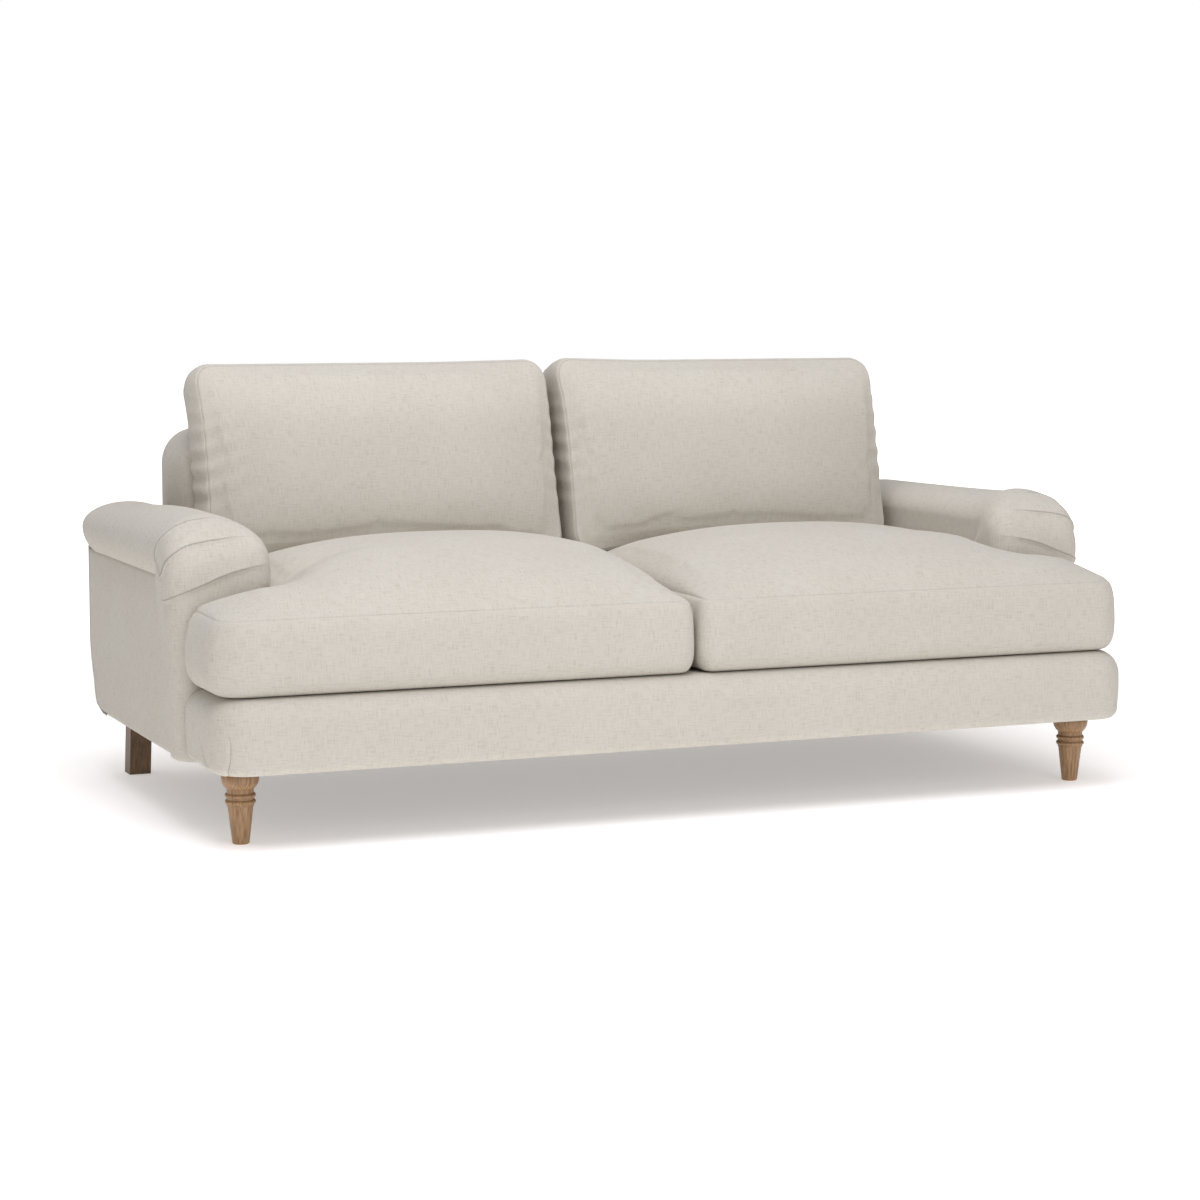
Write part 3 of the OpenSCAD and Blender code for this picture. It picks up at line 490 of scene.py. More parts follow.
def spread(grid, inside, rim, rim_points, rounds=90):
    """Moves the rim of a grid onto its ring, and averages the points inside."""
    shape = grid.shape[:2]
    points = grid.reshape(-1, 2).copy()
    points[rim] = rim_points
    used = np.zeros(shape, bool)
    for dj in (0, 1):
        for di in (0, 1):
            used[dj:shape[0] - 1 + dj, di:shape[1] - 1 + di] |= inside
    free = used.reshape(-1).copy()
    free[rim] = False
    free = free.reshape(shape)
    points = points.reshape(*shape, 2)
    for _ in range(rounds):
        mean = (np.roll(points, 1, 0) + np.roll(points, -1, 0)
                + np.roll(points, 1, 1) + np.roll(points, -1, 1)) / 4
        points = np.where(free[..., None], mean, points)
    return points.reshape(-1, 2), used.reshape(-1)


def distance_to(points, line):
    """Shortest distance from each point to a closed line of points."""
    a, b = line, np.roll(line, -1, 0)
    best = np.full(len(points), 1e9)
    along = b - a
    size = np.maximum((along ** 2).sum(1), 1e-12)
    for start in range(0, len(points), CHUNK):
        p = points[start:start + CHUNK, None]
        t = np.clip(((p - a) * along).sum(-1) / size, 0, 1)
        gap = np.linalg.norm(p - (a + t[..., None] * along), axis=-1)
        best[start:start + CHUNK] = gap.min(1)
    return best


def level(depth):
    """A flat panel at one depth. On a ring, where there is no gap, it has no rise."""
    return lambda p, gap: np.full(len(p), 0.0 if gap is None else depth)


def box_form(corners, radii, rings, cell, low, high, place, seam_rings={}):
    """A closed box-cushion form, as make_piece() takes it. rings are (inset, depth, lift):
    depth is measured from the low panel, and lift is the share of the high panel's rise that
    the ring has. low and high give the depth of a panel at (points, distance from its rim's
    ring), place puts the flat form where it belongs, and seam_rings gives the marks of the
    rings that are sewn."""
    grid, inside, rim, steps = filling(corners, cell)
    lines = [outline(corners, radii, inset, steps) for inset, _, _ in rings]
    count = len(rim)
    rows, seam = [], []
    for number, (line, (_, depth, lift)) in enumerate(zip(lines, rings)):
        t = depth + lift * high(line, None)
        rows.append(np.column_stack([line, t]))
        seam.append(np.full(count, seam_rings.get(number, 0.0)))
    ring_points = np.stack(rows)

    def panel(line, t_of, rim_row):
        """The grid spread inside one ring, with the depth of each point."""
        flat, used = spread(grid, inside, rim, line)
        t = t_of(flat, distance_to(flat, line))
        t[rim] = rim_row[:, 2]
        return flat, used, t

    low_flat, used, low_t = panel(lines[0], low, ring_points[0])
    high_flat, _, high_t = panel(lines[-1], high, ring_points[-1])
    total = grid.shape[0] * grid.shape[1]
    points = np.concatenate([np.column_stack([low_flat, low_t]),
                             np.column_stack([high_flat, high_t]),
                             ring_points[1:-1].reshape(-1, 3)])
    number = np.concatenate([rim, 2 * total + np.arange((len(rings) - 2) * count),
                             total + rim]).reshape(len(rings), count)
    following = np.roll(number, -1, 1)
    border = np.stack([number[:-1], following[:-1], following[1:], number[1:]],
                      -1).reshape(-1, 4)
    cells = grid_quads(*grid.shape[:2])[inside.reshape(-1)]
    quads = np.concatenate([cells[:, ::-1], cells + total, border])
    placed = place(ring_points.reshape(-1, 3)).reshape(ring_points.shape)
    middle = placed[len(rings) // 2]
    around = np.concatenate([[0], np.cumsum(np.linalg.norm(
        np.roll(middle, -1, 0) - middle, axis=1))])
    up = np.concatenate([[0], np.cumsum(np.linalg.norm(
        np.diff(placed[:, 5 * count // 8], axis=0), axis=1))])
    u0, v0 = np.meshgrid(around[:-1], up[:-1])
    u1, v1 = np.meshgrid(around[1:], up[1:])
    border_flat = np.stack([np.stack([u0, v0], -1), np.stack([u1, v0], -1),
                            np.stack([u1, v1], -1), np.stack([u0, v1], -1)],
                           2).reshape(-1, 4, 2)
    flat = np.concatenate([low_flat[cells[:, ::-1]], high_flat[cells] + [37, 11],
                           border_flat + [11, 53]]) / 1000      # each cut elsewhere
    marks = np.concatenate([np.zeros(2 * total), *seam[1:-1]])
    marks[rim], marks[total + rim] = seam[0], seam[-1]
    kept = np.concatenate([used, used, np.ones(len(points) - 2 * total, bool)])
    renumber = np.cumsum(kept) - 1
    return place(points[kept]) / 1000, renumber[quads], flat, marks[kept]


def smooth(t):
    """0 below 0, 1 above 1, and a smooth S between."""
    t = np.clip(t, 0, 1)
    return t * t * (3 - 2 * t)


print("one outline of a test square:",
      outline([[0, 0], [9, 0], [9, 9], [0, 9]], [2] * 4, 0, [3] * 4).shape)

# %% [markdown]
# ## The swell of a stuffed cushion
# Foam and down press the cloth out everywhere, and where more cloth was sewn in than the
# form needs it puckers, mostly beside the seams and at the corners. Blender's cloth
# simulation does this: the form is given a little too much cloth, and pressure from inside
# pushes it about. How far a point may move is capped, so that the measured form stays.

# %% Simulation
FRAMES = 20
MORE_CLOTH, PRESSURE = 0.012, 4.0
OUTWARD, INWARD, ACROSS = 0.0015, 0.0025, 0.003     # caps of a point's move, in metres
SEAM_DEPTH = 0.0018


def swell(obj, held=None):
    """Cloth that is too long by MORE_CLOTH, under pressure without gravity. The move of a
    point is split along its normal and across it, and each is capped; held is the share of
    the move that a point doesn't make."""
    start = read_points(obj.data)
    normal = read_points(obj.data, "normal")
    cloth = obj.modifiers.new("swell", "CLOTH")
    cloth.settings.quality = 4
    cloth.settings.mass = 0.25
    cloth.settings.tension_stiffness = 25
    cloth.settings.compression_stiffness = 25
    cloth.settings.shear_stiffness = 8
    cloth.settings.bending_stiffness = 0.6
    cloth.settings.use_pressure = True
    cloth.settings.uniform_pressure_force = PRESSURE
    cloth.settings.shrink_min = -MORE_CLOTH
    cloth.settings.effector_weights.gravity = 0
    cloth.collision_settings.use_collision = False
    for number in range(1, FRAMES + 1):
        scene.frame_set(number)
    graph = bpy.context.evaluated_depsgraph_get()
    moved = obj.evaluated_get(graph).to_mesh()
    end = read_points(moved)
    obj.evaluated_get(graph).to_mesh_clear()
    obj.modifiers.remove(cloth)
    scene.frame_set(1)
    move = end - start
    out = (move * normal).sum(1)
    across = move - out[:, None] * normal
    reach = np.linalg.norm(across, axis=1)
    across *= (np.minimum(reach, ACROSS) / np.maximum(reach, 1e-9))[:, None]
    out -= np.median(out)
    cap = np.where(out > 0, OUTWARD, INWARD)
    out = cap * np.tanh(out / cap)
    if held is not None:
        out, across = out * (1 - held), across * (1 - held)[:, None]
    write_points(obj.data, start + across + out[:, None] * normal)
    print(obj.name, "swell: moves of", round(float(out.min()) * 1000, 1), "to",
          round(float(out.max()) * 1000, 1), "mm")


def finish_cloth(obj):
    """One subdivision, then the sewn seams are drawn in along their marked rings."""
    levels = obj.modifiers.new("finer", "SUBSURF")
    levels.levels = levels.render_levels = 1
    evaluated(obj)
    marks = np.empty(len(obj.data.vertices), np.float32)
    obj.data.attributes["seam"].data.foreach_get("value", marks)
    points = read_points(obj.data) \
        - read_points(obj.data, "normal") * (marks ** 1.5 * SEAM_DEPTH)[:, None]
    write_points(obj.data, points)
    obj.data.polygons.foreach_set("use_smooth", [True] * len(obj.data.polygons))


print("simulation:", f"{FRAMES} frames a cushion")

# %% [markdown]
# ## Seat cushions
# Each seat cushion fills the space between the arms and has a wing that wraps round in front
# of one arm. It is a box cushion with an L-shaped outline. Its crown is high in the middle
# and falls to the sides; the lower edge is rolled in where it lies on the deck. One formula
# gives the crown of both, with a few habits that set them apart, as no two are sat on alike.
# A zip runs along the rear, so the cover lies in a shallow channel there.

# %% Seat cushions
SEAT_LOW, SEAM_UP, SIDE_RISE = 303.3, 155.0, 53.0
SEAT_MID, SEAT_OUT, SEAT_BODY = 1.0, 1040.0, 868.0
SEAT_FRONT, SEAT_WING, SEAT_REAR = -546.0, -310.0, 265.0
WING_BLEND, CROWN_POWER = 90.0, 2.5
CELL = 10.0          # halved once, by the subdivision

seat_corners = [[SEAT_MID, SEAT_FRONT], [SEAT_OUT, SEAT_FRONT], [SEAT_OUT, SEAT_WING],
                [SEAT_BODY, SEAT_WING], [SEAT_BODY, SEAT_REAR], [SEAT_MID, SEAT_REAR]]
seat_radii = [40, 70, 18, 14, 40, 40]


# What sets the two cushions apart: the crown, the dip at the wing's inner corner, the swell
# and the droop of the wing's outer side, a second dip (place, reach and share) and the power
# by which the crown falls to the middle of the sofa.
HABITS = {"left": (70.0, 0.36, 9.0, 0.42, (800, -240, 100, 70, 0.2), 2.9),
          "right": (62.0, 0.22, 3.0, 0.1, (860, -60, 80, 180, 0.14), 2.5)}


def seat_rise(p, habit=HABITS["left"]):
    """Height of the crown above the seam: 53 mm all round and the crown more in the middle.
    It falls off with a power of the share of the way to each side, dips round the inner
    corner where the wing starts and once more beside it, and droops along the wing's outer
    side."""
    crown, dip, _, droop, (x, y, wide, deep, share), inner_power = habit
    edge = SEAT_BODY + (SEAT_OUT - SEAT_BODY) * smooth((SEAT_WING + WING_BLEND - p[:, 1])
                                                       / WING_BLEND)
    half = (edge - SEAT_MID) / 2
    off = (p[:, 0] - SEAT_MID - half) / half
    u = np.minimum(1, np.abs(off)) ** np.where(off < 0, inner_power, CROWN_POWER)
    middle, reach = (SEAT_FRONT + SEAT_REAR) / 2, (SEAT_REAR - SEAT_FRONT) / 2
    v = np.minimum(1, np.abs(p[:, 1] - middle) / reach) ** CROWN_POWER
    notch = np.exp(-((p[:, 0] - SEAT_BODY) ** 2 + (p[:, 1] - SEAT_WING) ** 2) / 105 ** 2)
    second = np.exp(-((p[:, 0] - x) / wide) ** 2 - ((p[:, 1] - y) / deep) ** 2)
    return (SIDE_RISE + crown * (1 - u)) * (1 - v) * (1 - dip * notch) \
        * (1 - share * second) * (1 - droop * smooth((p[:, 0] - 900) / 130))


def seat_high(habit):
    """Depth of the top panel. Near its seam it has only a share of the rise, by distance."""
    def high(p, gap):
        """The rise of a ring, or the depth of a point of the panel."""
        if gap is None:
            return seat_rise(p, habit)
        lift = np.interp(gap, [0, 6, 12, 24, 45, 85], [0.46, 0.58, 0.68, 0.81, 0.92, 1])
        return SEAM_UP + lift * seat_rise(p, habit)
    return high


seat_rings = [(45, 0, 0), (30, 1, 0), (18, 4, 0), (9, 11, 0), (5, 18.5, 0), (3.6, 22, 0),
              (2.4, 26, 0), (0.6, 36, 0), (0, 50, 0), (0, 66, 0), (0.6, 82, 0), (1.2, 98, 0),
              (1.8, 112, 0), (3, 124, 0), (5, 135, 0), (7.6, 144, 0), (10.8, 150.5, 0),
              (13.2, 153.4, 0), (15.3, 155, 0), (17, 155, 0.14), (19.5, 155, 0.28),
              (24, 155, 0.46)]


def place_seat(habit):
    """Lifts the form onto the deck. The border of the wing's outer side swells halfway up."""
    def place(q):
        """The moved points of the form."""
        full = np.sin(np.pi * np.clip(q[:, 2] / SEAM_UP, 0, 1))
        out = habit[2] * full * smooth((q[:, 0] - 980) / 60) * smooth((q[:, 1] + 560) / 60)
        return q + np.column_stack([out, 0 * out, 0 * out + SEAT_LOW])
    return place


ZIP_AT = np.array([434.5, 265.0, 389.3])
ZIP_HALF, ZIP_SUNK = 282.0, 12.6


def zip_channel(obj, at, up, out):
    """Draws the cloth in round the zip: the full depth within 17 mm of its middle line, and
    none past 25 mm. up and out are the directions across the zip and outwards."""
    points = read_points(obj.data) * 1000
    off = points - at
    across = np.abs(off @ up)
    ends = np.abs(off[:, 0])
    depth = off @ out
    share = smooth((25 - across) / 8) * smooth((ZIP_HALF + 8 - ends) / 8) \
        * (np.abs(depth) < 40)
    points -= out * (share * np.maximum(ZIP_SUNK + depth, 0))[:, None]
    write_points(obj.data, points / 1000)


for side, word in ((-1, "left"), (1, "right")):
    habit = HABITS[word]
    # the two sewn rings are pressed in, and the linen darkens them as painted shade in the seam
    form = box_form(seat_corners, seat_radii, seat_rings, CELL, level(0.0), seat_high(habit),
                    place_seat(habit), seam_rings={5: 0.4, 18: 0.62})
    cushion = make_piece(f"seat_cushion_cover_{word}", *form, side=side)
    start = read_points(cushion.data)
    on_deck = smooth((0.318 - start[:, 2]) / 0.012)
    under = smooth((start[:, 1] - 0.08) / 0.06) * (start[:, 2] > 0.44)
    swell(cushion, held=np.maximum(on_deck, 0.6 * under))
    finish_cloth(cushion)
    zip_channel(cushion, ZIP_AT * [side, 1, 1], np.array([0, 0, 1.0]),
                np.array([0, 1.0, 0]))
    points = read_points(cushion.data)
    points[:, 2] = np.maximum(points[:, 2], SEAT_LOW / 1000)
    points[:, 0] = side * np.maximum(points[:, 0] * side, SEAT_MID / 1000)
    write_points(cushion.data, points)
    dress(cushion, cover_linen, f"seat_cushion_{word}", f"seat_cushion_{word}", fill=0.9)

# %% [markdown]
# ## Back cushions
# Each back cushion stands on a seat cushion and leans on the inside back. It is a box
# cushion too, drawn here as if it lay on its back: x across, z up the lean, and depth to the
# front, and then turned into its place. The front panel is gathered onto its upright seams,
# which leaves small folds beside them, and the cushions bend a little over the frame's top.

# %% Back cushions
LEAN = math.radians(14)
BACK_X0, BACK_X1, BACK_TALL, BACK_THICK = 4.0, 858.0, 460.0, 118.0
BACK_CROWN, BACK_REAR_CROWN, BACK_DRAW, BACK_POWER = 62.0, 12.0, 5.0, 3.2


def back_uv(p):
    """Place on the panel, from -1 to 1 across and up."""
    return ((p[:, 0] - (BACK_X0 + BACK_X1) / 2) / ((BACK_X1 - BACK_X0) / 2),
            p[:, 1] * 2 / BACK_TALL - 1)


def back_swell(p):
    """1 in the middle of the panel and 0 at its sides, with the power 3.2 across and up, and
    4 down, where the filling has settled."""
    u, v = back_uv(p)
    return (1 - np.minimum(1, np.abs(u)) ** BACK_POWER) \
        * (1 - np.minimum(1, np.abs(v)) ** np.where(v < 0, 4.0, BACK_POWER))


def back_front(p, gap):
    """The front panel's rise on a ring, or its depth: the thickness and 62 mm of swell."""
    if gap is None:
        return BACK_CROWN * back_swell(p)
    return BACK_THICK + BACK_CROWN * back_swell(p)


def back_rear(p, gap):
    """The rear panel's depth: 12 mm of swell to the rear."""
    return -BACK_REAR_CROWN * back_swell(p)


def place_back(side):
    """Draws the long edges in between the corners, swells the border outwards along a sine
    over its thickness, bends the part above the frame to the rear by the square of the
    height over 300 mm, then leans the cushion back. The right cushion is 10 mm narrower at
    its outer side and has no swell there. At the middle of the sofa the left one stands 3 mm
    further back and the right one 9 mm further forward."""
    outer, less, turn = (12.0, 0.0, 3.0) if side < 0 else (0.0, 10.0, -9.0)

    def place(q):
        """The moved points of the form."""
        u, v = back_uv(q)
        full = np.sin(np.pi * np.clip(q[:, 2] / BACK_THICK, 0, 1))
        x = q[:, 0] - BACK_DRAW * u * (1 - np.minimum(1, v * v)) \
            + full * np.where(u > 0, outer, -2.5) * smooth((np.abs(u) - 0.86) / 0.14) \
            - less * smooth((u + 1) / 2) * (1.4 - 0.4 * v)
        up = q[:, 1] - BACK_DRAW * v * (1 - np.minimum(1, u * u)) * (v < 0) \
            + (8 + 9 * full + 5 * smooth((-u - 0.3) / 0.7)) * smooth((v - 0.75) / 0.25) \
            - 10 * smooth((-u - 0.5) / 0.5) * smooth((-v - 0.6) / 0.4)
        y = -q[:, 2] + 30 * np.maximum(0, (up - 300) / 160) ** 2 \
            + turn * smooth((-u - 0.4) / 0.6)
        return np.column_stack([x, FOOT_Y + y * math.cos(LEAN) + up * math.sin(LEAN),
                                FOOT_Z - y * math.sin(LEAN) + up * math.cos(LEAN)])
    return place


# the height up the cushion, the size in mm and the slant of each fold beside a front seam
PUCKERS = np.array([(150, 1.5, 0.35), (196, 1.9, 0.42), (243, 2.2, 0.38), (288, 1.8, 0.45),
                    (331, 1.6, 0.4), (372, 1.2, 0.5), (404, 0.9, 0.6)])


def puckers(p, side):
    """Small folds where the front panel is gathered onto its upright seams: each is a bell
    across its length, 13 mm wide, that starts at the seam, climbs inwards and dies away
    over 45 mm. The filling also fills the two upper corners out by 4 mm, round the foam."""
    up = (p[:, 2] - FOOT_Z) / math.cos(LEAN)
    total = np.zeros(len(p))
    middle, half = (BACK_X0 + BACK_X1) / 2, (BACK_X1 - BACK_X0) / 2
    for end, share in ((1, 1.8), (-1, 1.0)):
        inwards = half - 4 - end * (p[:, 0] * side - middle)
        near = np.exp(-np.maximum(inwards, 0) / 45) * smooth((inwards + 60) / 50) \
            * (p[:, 1] < FOOT_Y + 60)
        for high, size, slant in PUCKERS:
            line = up - high - slant * np.maximum(inwards, 0)
            total += share * size * near * (np.exp(-(line / 13) ** 2)
                                            - 0.5 * np.exp(-((line - 21) / 13) ** 2))
    aside = np.abs(p[:, 0] * side - middle) - (half - 34)
    return total + 4 * (p[:, 1] < FOOT_Y + 60) * np.exp(-(aside / 26) ** 2
                                                        - ((up - 446) / 30) ** 2)


def settle():
    """Finds the foot as part.scad does: the front seam comes down to the seat's crown, and
    the drawn-in bottom lets it down by 12 mm more."""
    inside_y, deck, forward = 271.0, 303.0, BACK_REAR_CROWN + 0.3
    up = SEAM_UP
    for _ in range(12):
        reach = forward + BACK_THICK
        y = inside_y - reach * math.cos(LEAN) + up * math.sin(LEAN)
        z = deck + reach * math.sin(LEAN) + up * math.cos(LEAN)
        top = SEAT_LOW + SEAM_UP + seat_rise(np.array([[(SEAT_BODY + SEAT_MID) / 2, y]]))[0]
        up += (top - z) / math.cos(LEAN)
    up -= 12
    return (inside_y - forward * math.cos(LEAN) + up * math.sin(LEAN),
            deck + forward * math.sin(LEAN) + up * math.cos(LEAN))


FOOT_Y, FOOT_Z = settle()
back_corners = [[BACK_X0, 0], [BACK_X1, 0], [BACK_X1, BACK_TALL], [BACK_X0, BACK_TALL]]
T = BACK_THICK
back_rings = [(27, 0, 0), (18, 0, 0), (9, 0, 0), (4, 0.4, 0), (0.9, 1.2, 0), (1.2, 4, 0),
              (3.6, 9.4, 0), (3.8, 20, 0), (4, 34, 0), (4.05, 50, 0), (4.05, 66, 0),
              (4, 82, 0), (3.9, 95, 0), (4.2, 104, 0), (5.4, 110.5, 0), (7.2, 114.6, 0),
              (9.2, 116.8, 0), (11.5, T, 0.15), (16, T, 0.42), (25, T, 0.8), (36, T, 1)]
for side, word in ((-1, "left"), (1, "right")):
    # the two sewn rings are pressed in, and the linen darkens them as painted shade in the seam
    form = box_form(back_corners, [52] * 4, back_rings, CELL, back_rear, back_front,
                    place_back(side), seam_rings={4: 0.75, 15: 0.75})
    cushion = make_piece(f"back_cushion_cover_{word}", *form, side=side)
    swell(cushion)
    finish_cloth(cushion)
    points = read_points(cushion.data)
    write_points(cushion.data, points + puckers(points * 1000, side)[:, None]
                 * read_points(cushion.data, "normal") / 1000)
    zip_low, zip_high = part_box(f"back_zip_{word}")
    down = np.array([0, -math.sin(LEAN), -math.cos(LEAN)])
    zip_channel(cushion, (np.array(zip_low) + zip_high) * 500 + down * 11,
                np.array([0, -math.cos(LEAN), math.sin(LEAN)]), down)
    dress(cushion, cover_linen, f"back_cushion_{word}", f"back_cushion_{word}", fill=0.85)
print("the back cushions' foot is at", round(FOOT_Y), "mm to the rear,", round(FOOT_Z), "up")

# %% [markdown]
# ## Sweeping a section along a path
# An arm is one length of padding: it starts at the rear dome, runs forward as a roll, turns
# over the nose and goes down the front. So it is a section carried along a path seen from
# the side. At each place the section is given as (offset across, depth in from the path),
# and it changes slowly from the roll's oval to the front's flat face with round corners.

# %% Sections of the arm
ARM_X, ROLL_HALF, ROLL_TALL = 970.0, 100.0, 70.0
ARM_TOP, NOSE_R = 640.0, 130.0
FRONT_Y, NOSE_Y = -308.0, -178.0
DOME_Y, PANEL_X = 465.0, 1049.0
PLAN_R = 42.0
HALF_POINTS = 74


def by_length(line, count):
    """count points at equal lengths along a line of points."""
    run = np.concatenate([[0], np.cumsum(np.linalg.norm(np.diff(line, axis=0), axis=1))])
    at = np.linspace(0, run[-1], count)
    return np.column_stack([np.interp(at, run, line[:, k]) for k in (0, 1)])


def roll_half(drop):
    """From the crest to the widest place a quarter of an oval, then an arc of 70 mm radius
    inwards to the lip: (offset, depth below the crest). drop is how far the crest falls."""
    a = np.radians(np.linspace(90, 0, 60))
    over = np.column_stack([ROLL_HALF * np.cos(a), (ROLL_TALL - drop) * (1 - np.sin(a))])
    b = np.radians(np.linspace(0, 53, 34))[1:]
    under = np.column_stack([30 + 70 * np.cos(b), ROLL_TALL - drop + 70 * np.sin(b)])
    return by_length(np.concatenate([over, under]), HALF_POINTS)


def inner_half(drop, down=150.0):
    """The same oval, then straight down the inside arm."""
    a = np.radians(np.linspace(90, 0, 60))
    over = np.column_stack([ROLL_HALF * np.cos(a), (ROLL_TALL - drop) * (1 - np.sin(a))])
    return by_length(np.concatenate([over, [[ROLL_HALF, down]]]), HALF_POINTS)


def front_half(wide, deep, tuck):
    """From the middle of the face out to a corner of 42 mm radius, straight back, and in
    over the padding's edge to the seam: tuck is how far the seam lies inside the side."""
    a = np.radians(np.linspace(90, 0, 24))
    corner = np.column_stack([wide - PLAN_R + PLAN_R * np.cos(a), PLAN_R * (1 - np.sin(a))])
    b = np.radians(np.linspace(0, 90, 12))[1:]
    edge = np.column_stack([wide - tuck * (1 - np.cos(b)), deep - tuck + tuck * np.sin(b)])
    return by_length(np.concatenate([[[0, 0]], corner, [[wide, deep - tuck]], edge]),
                     HALF_POINTS)


def crest_at(y, side):
    """The roll's crest falls by 19 mm to the rear: along an S from the middle on the left
    arm, and from the nose on, faster at first, on the right one."""
    if side < 0:
        return ARM_TOP - 19 * smooth((y + 20) / 480)
    return ARM_TOP - 19 * np.clip((y - NOSE_Y) / (DOME_Y - NOSE_Y), 0, 1) ** 0.32


def seam_y(z):
    """The outer seam slants: 233 mm before the middle at the foot and 176 at the lip."""
    return -233 + (z - 150) * (57 / 370)


# %% The arm's surface
def arm_surface(side):
    """Grid of points of an arm, in mm, drawn on the right for both. Rows run from the rear
    dome, forward along the roll, round the nose and down to the foot of the front. Columns
    run from the outer edge over the crest to the inner edge."""
    rows = []
    roll = roll_half(ARM_TOP - crest_at(DOME_Y, side))
    offset, depth = roll[::-1, 0], roll[::-1, 1]
    crest = crest_at(DOME_Y, side)
    for turn in np.radians(np.linspace(90, 0, 34)[:-1]):
        outer, inner = (np.column_stack([ARM_X + way * offset * np.cos(turn),
                                         DOME_Y + offset * np.sin(turn), crest - depth])
                        for way in (1, -1))
        rows.append(np.concatenate([outer, inner[::-1][1:]]))
    for y in np.linspace(DOME_Y, NOSE_Y, 112)[:-1]:
        drop = ARM_TOP - crest_at(y, side)
        outer = roll_half(drop)
        w = smooth((DOME_Y - y) / 150)
        inner = (1 - w) * outer + w * inner_half(drop)
        rows.append(np.concatenate([
            np.column_stack([ARM_X + outer[::-1, 0], np.full(HALF_POINTS, y),
                             ARM_TOP - drop - outer[::-1, 1]]),
            np.column_stack([ARM_X - inner[1:, 0], np.full(HALF_POINTS - 1, y),
                             ARM_TOP - drop - inner[1:, 1]])]))
    for turn in np.linspace(90, 0, 62)[:-1]:
        w = smooth((turn - 28) / 62)
        outer = w * roll_half(0) + (1 - w) * front_half(97, 130, 18)
        inner = w * inner_half(0, 130) + (1 - w) * front_half(117, 130, 17)
        section = np.concatenate([outer[::-1], inner[1:] * [-1, 1]])
        reach = np.maximum(NOSE_R - section[:, 1], 0.5)
        a = math.radians(turn)
        rows.append(np.column_stack([ARM_X + section[:, 0], NOSE_Y - reach * math.cos(a),
                                     ARM_TOP - NOSE_R + reach * math.sin(a)]))
    for z in np.concatenate([np.linspace(ARM_TOP - NOSE_R, 166, 72)[:-1],
                             np.linspace(166, 150, 6)]):
        share = (z - 150) / (ARM_TOP - NOSE_R - 150)
        outer = front_half(81 + 16 * share, seam_y(z) - FRONT_Y, 2 + 16 * share)
        inner = front_half(98 + 19 * smooth((z - 462) / 48), 130, 17)
        section = np.concatenate([outer[::-1], inner[1:] * [-1, 1]])
        curl = 10 * (1 - math.sqrt(max(0, 1 - ((166 - min(z, 166)) / 16) ** 2)))
        rows.append(np.column_stack([ARM_X + section[:, 0] * (1 - curl / 300),
                                     FRONT_Y + curl + section[:, 1],
                                     np.full(len(section), z)]))
    return np.stack(rows)


def sew_lines(obj, lines, side):
    """Up to three sewn lines or pleats on a piece, each as (line, depth, ridge, fade). Within
    about 5 mm of a line the cloth goes in by up to depth, along a bell curve, and 9 mm above
    it, where it lies double, it stands up by ridge. fade is the strength along the line. The
    distance from each line, with its sign, stays on the mesh for sewn_line()."""
    points, normals = read_points(obj.data) * 1000, read_points(obj.data, "normal")
    gaps = np.full((len(points), 3), 0.05)
    strength = np.zeros((len(points), 3))
    move = np.zeros(len(points))
    for number, (line, depth, ridge, fade) in enumerate(lines):
        near = np.flatnonzero((points > line.min(0) - 50).all(1)
                              & (points < line.max(0) + 50).all(1))
        start, along = line[:-1], np.diff(line, axis=0)
        off = points[near][:, None] - start
        run = (off * along).sum(-1) / (along ** 2).sum(1)
        held = np.clip(run, 0, 1)
        gap = np.linalg.norm(off - held[..., None] * along, axis=-1)
        best = gap.argmin(1)
        pick = np.arange(len(near)), best
        away = off[pick] - held[pick][:, None] * along[best]
        across = np.cross(along[best], normals[near])
        across /= np.maximum(np.linalg.norm(across, axis=1), 1e-9)[:, None]
        signed = (away * across).sum(1) * side
        past = np.abs(run - held)[pick] * np.linalg.norm(along[best], axis=1)
        lifted = np.abs((away * normals[near]).sum(1))
        shown = np.interp((best + held[pick]) / len(start), *zip(*fade)) \
            * smooth(1 - past / 8) * smooth((20 - lifted) / 8)
        gaps[near, number] = signed / 1000
        strength[near, number] = shown * smooth((20 - gap[pick]) / 10)
        move[near] += shown * (ridge * (signed > 0) * (signed / 9) * np.exp(1 - signed / 9)
                               - depth * np.exp(-(signed / 4.2) ** 2)) \
            * smooth((48 - gap[pick]) / 20)
    for name, values in (("sewn_gap", gaps), ("sewn_strength", strength)):
        obj.data.attributes.new(name, "FLOAT_VECTOR", "POINT").data.foreach_set(
            "vector", values.astype(np.float32).reshape(-1))
    write_points(obj.data, (points + normals * move[:, None]) / 1000)


def edge_shade_marks(grid, columns, rows):
    """Marks of painted shade along some first or last columns and rows of a grid, which the
    linen draws as a dark line: 1 on the edge and a half on the next line."""
    marks = np.zeros(grid.shape[:2])
    for edge in columns:
        marks[:, edge], marks[:, edge + (1 if edge == 0 else -1)] = 1, 0.55
    for edge in rows:
        marks[edge], marks[edge + (1 if edge == 0 else -1)] = 1, 0.55
    return marks.reshape(-1)


def curve(knots, count=60):
    """A smooth line through a few points: a Catmull-Rom curve, as whole arrays."""
    k = np.array(knots, float)
    k = np.concatenate([[2 * k[0] - k[1]], k, [2 * k[-1] - k[-2]]])
    at = np.linspace(0, len(k) - 3 - 1e-9, count)
    i, t = at.astype(int), (at % 1)[:, None]
    p0, p1, p2, p3 = k[i], k[i + 1], k[i + 2], k[i + 3]
    return 0.5 * (2 * p1 + (p2 - p0) * t + (2 * p0 - 5 * p1 + 4 * p2 - p3) * t ** 2
                  + (3 * p1 - p0 - 3 * p2 + p3) * t ** 3)


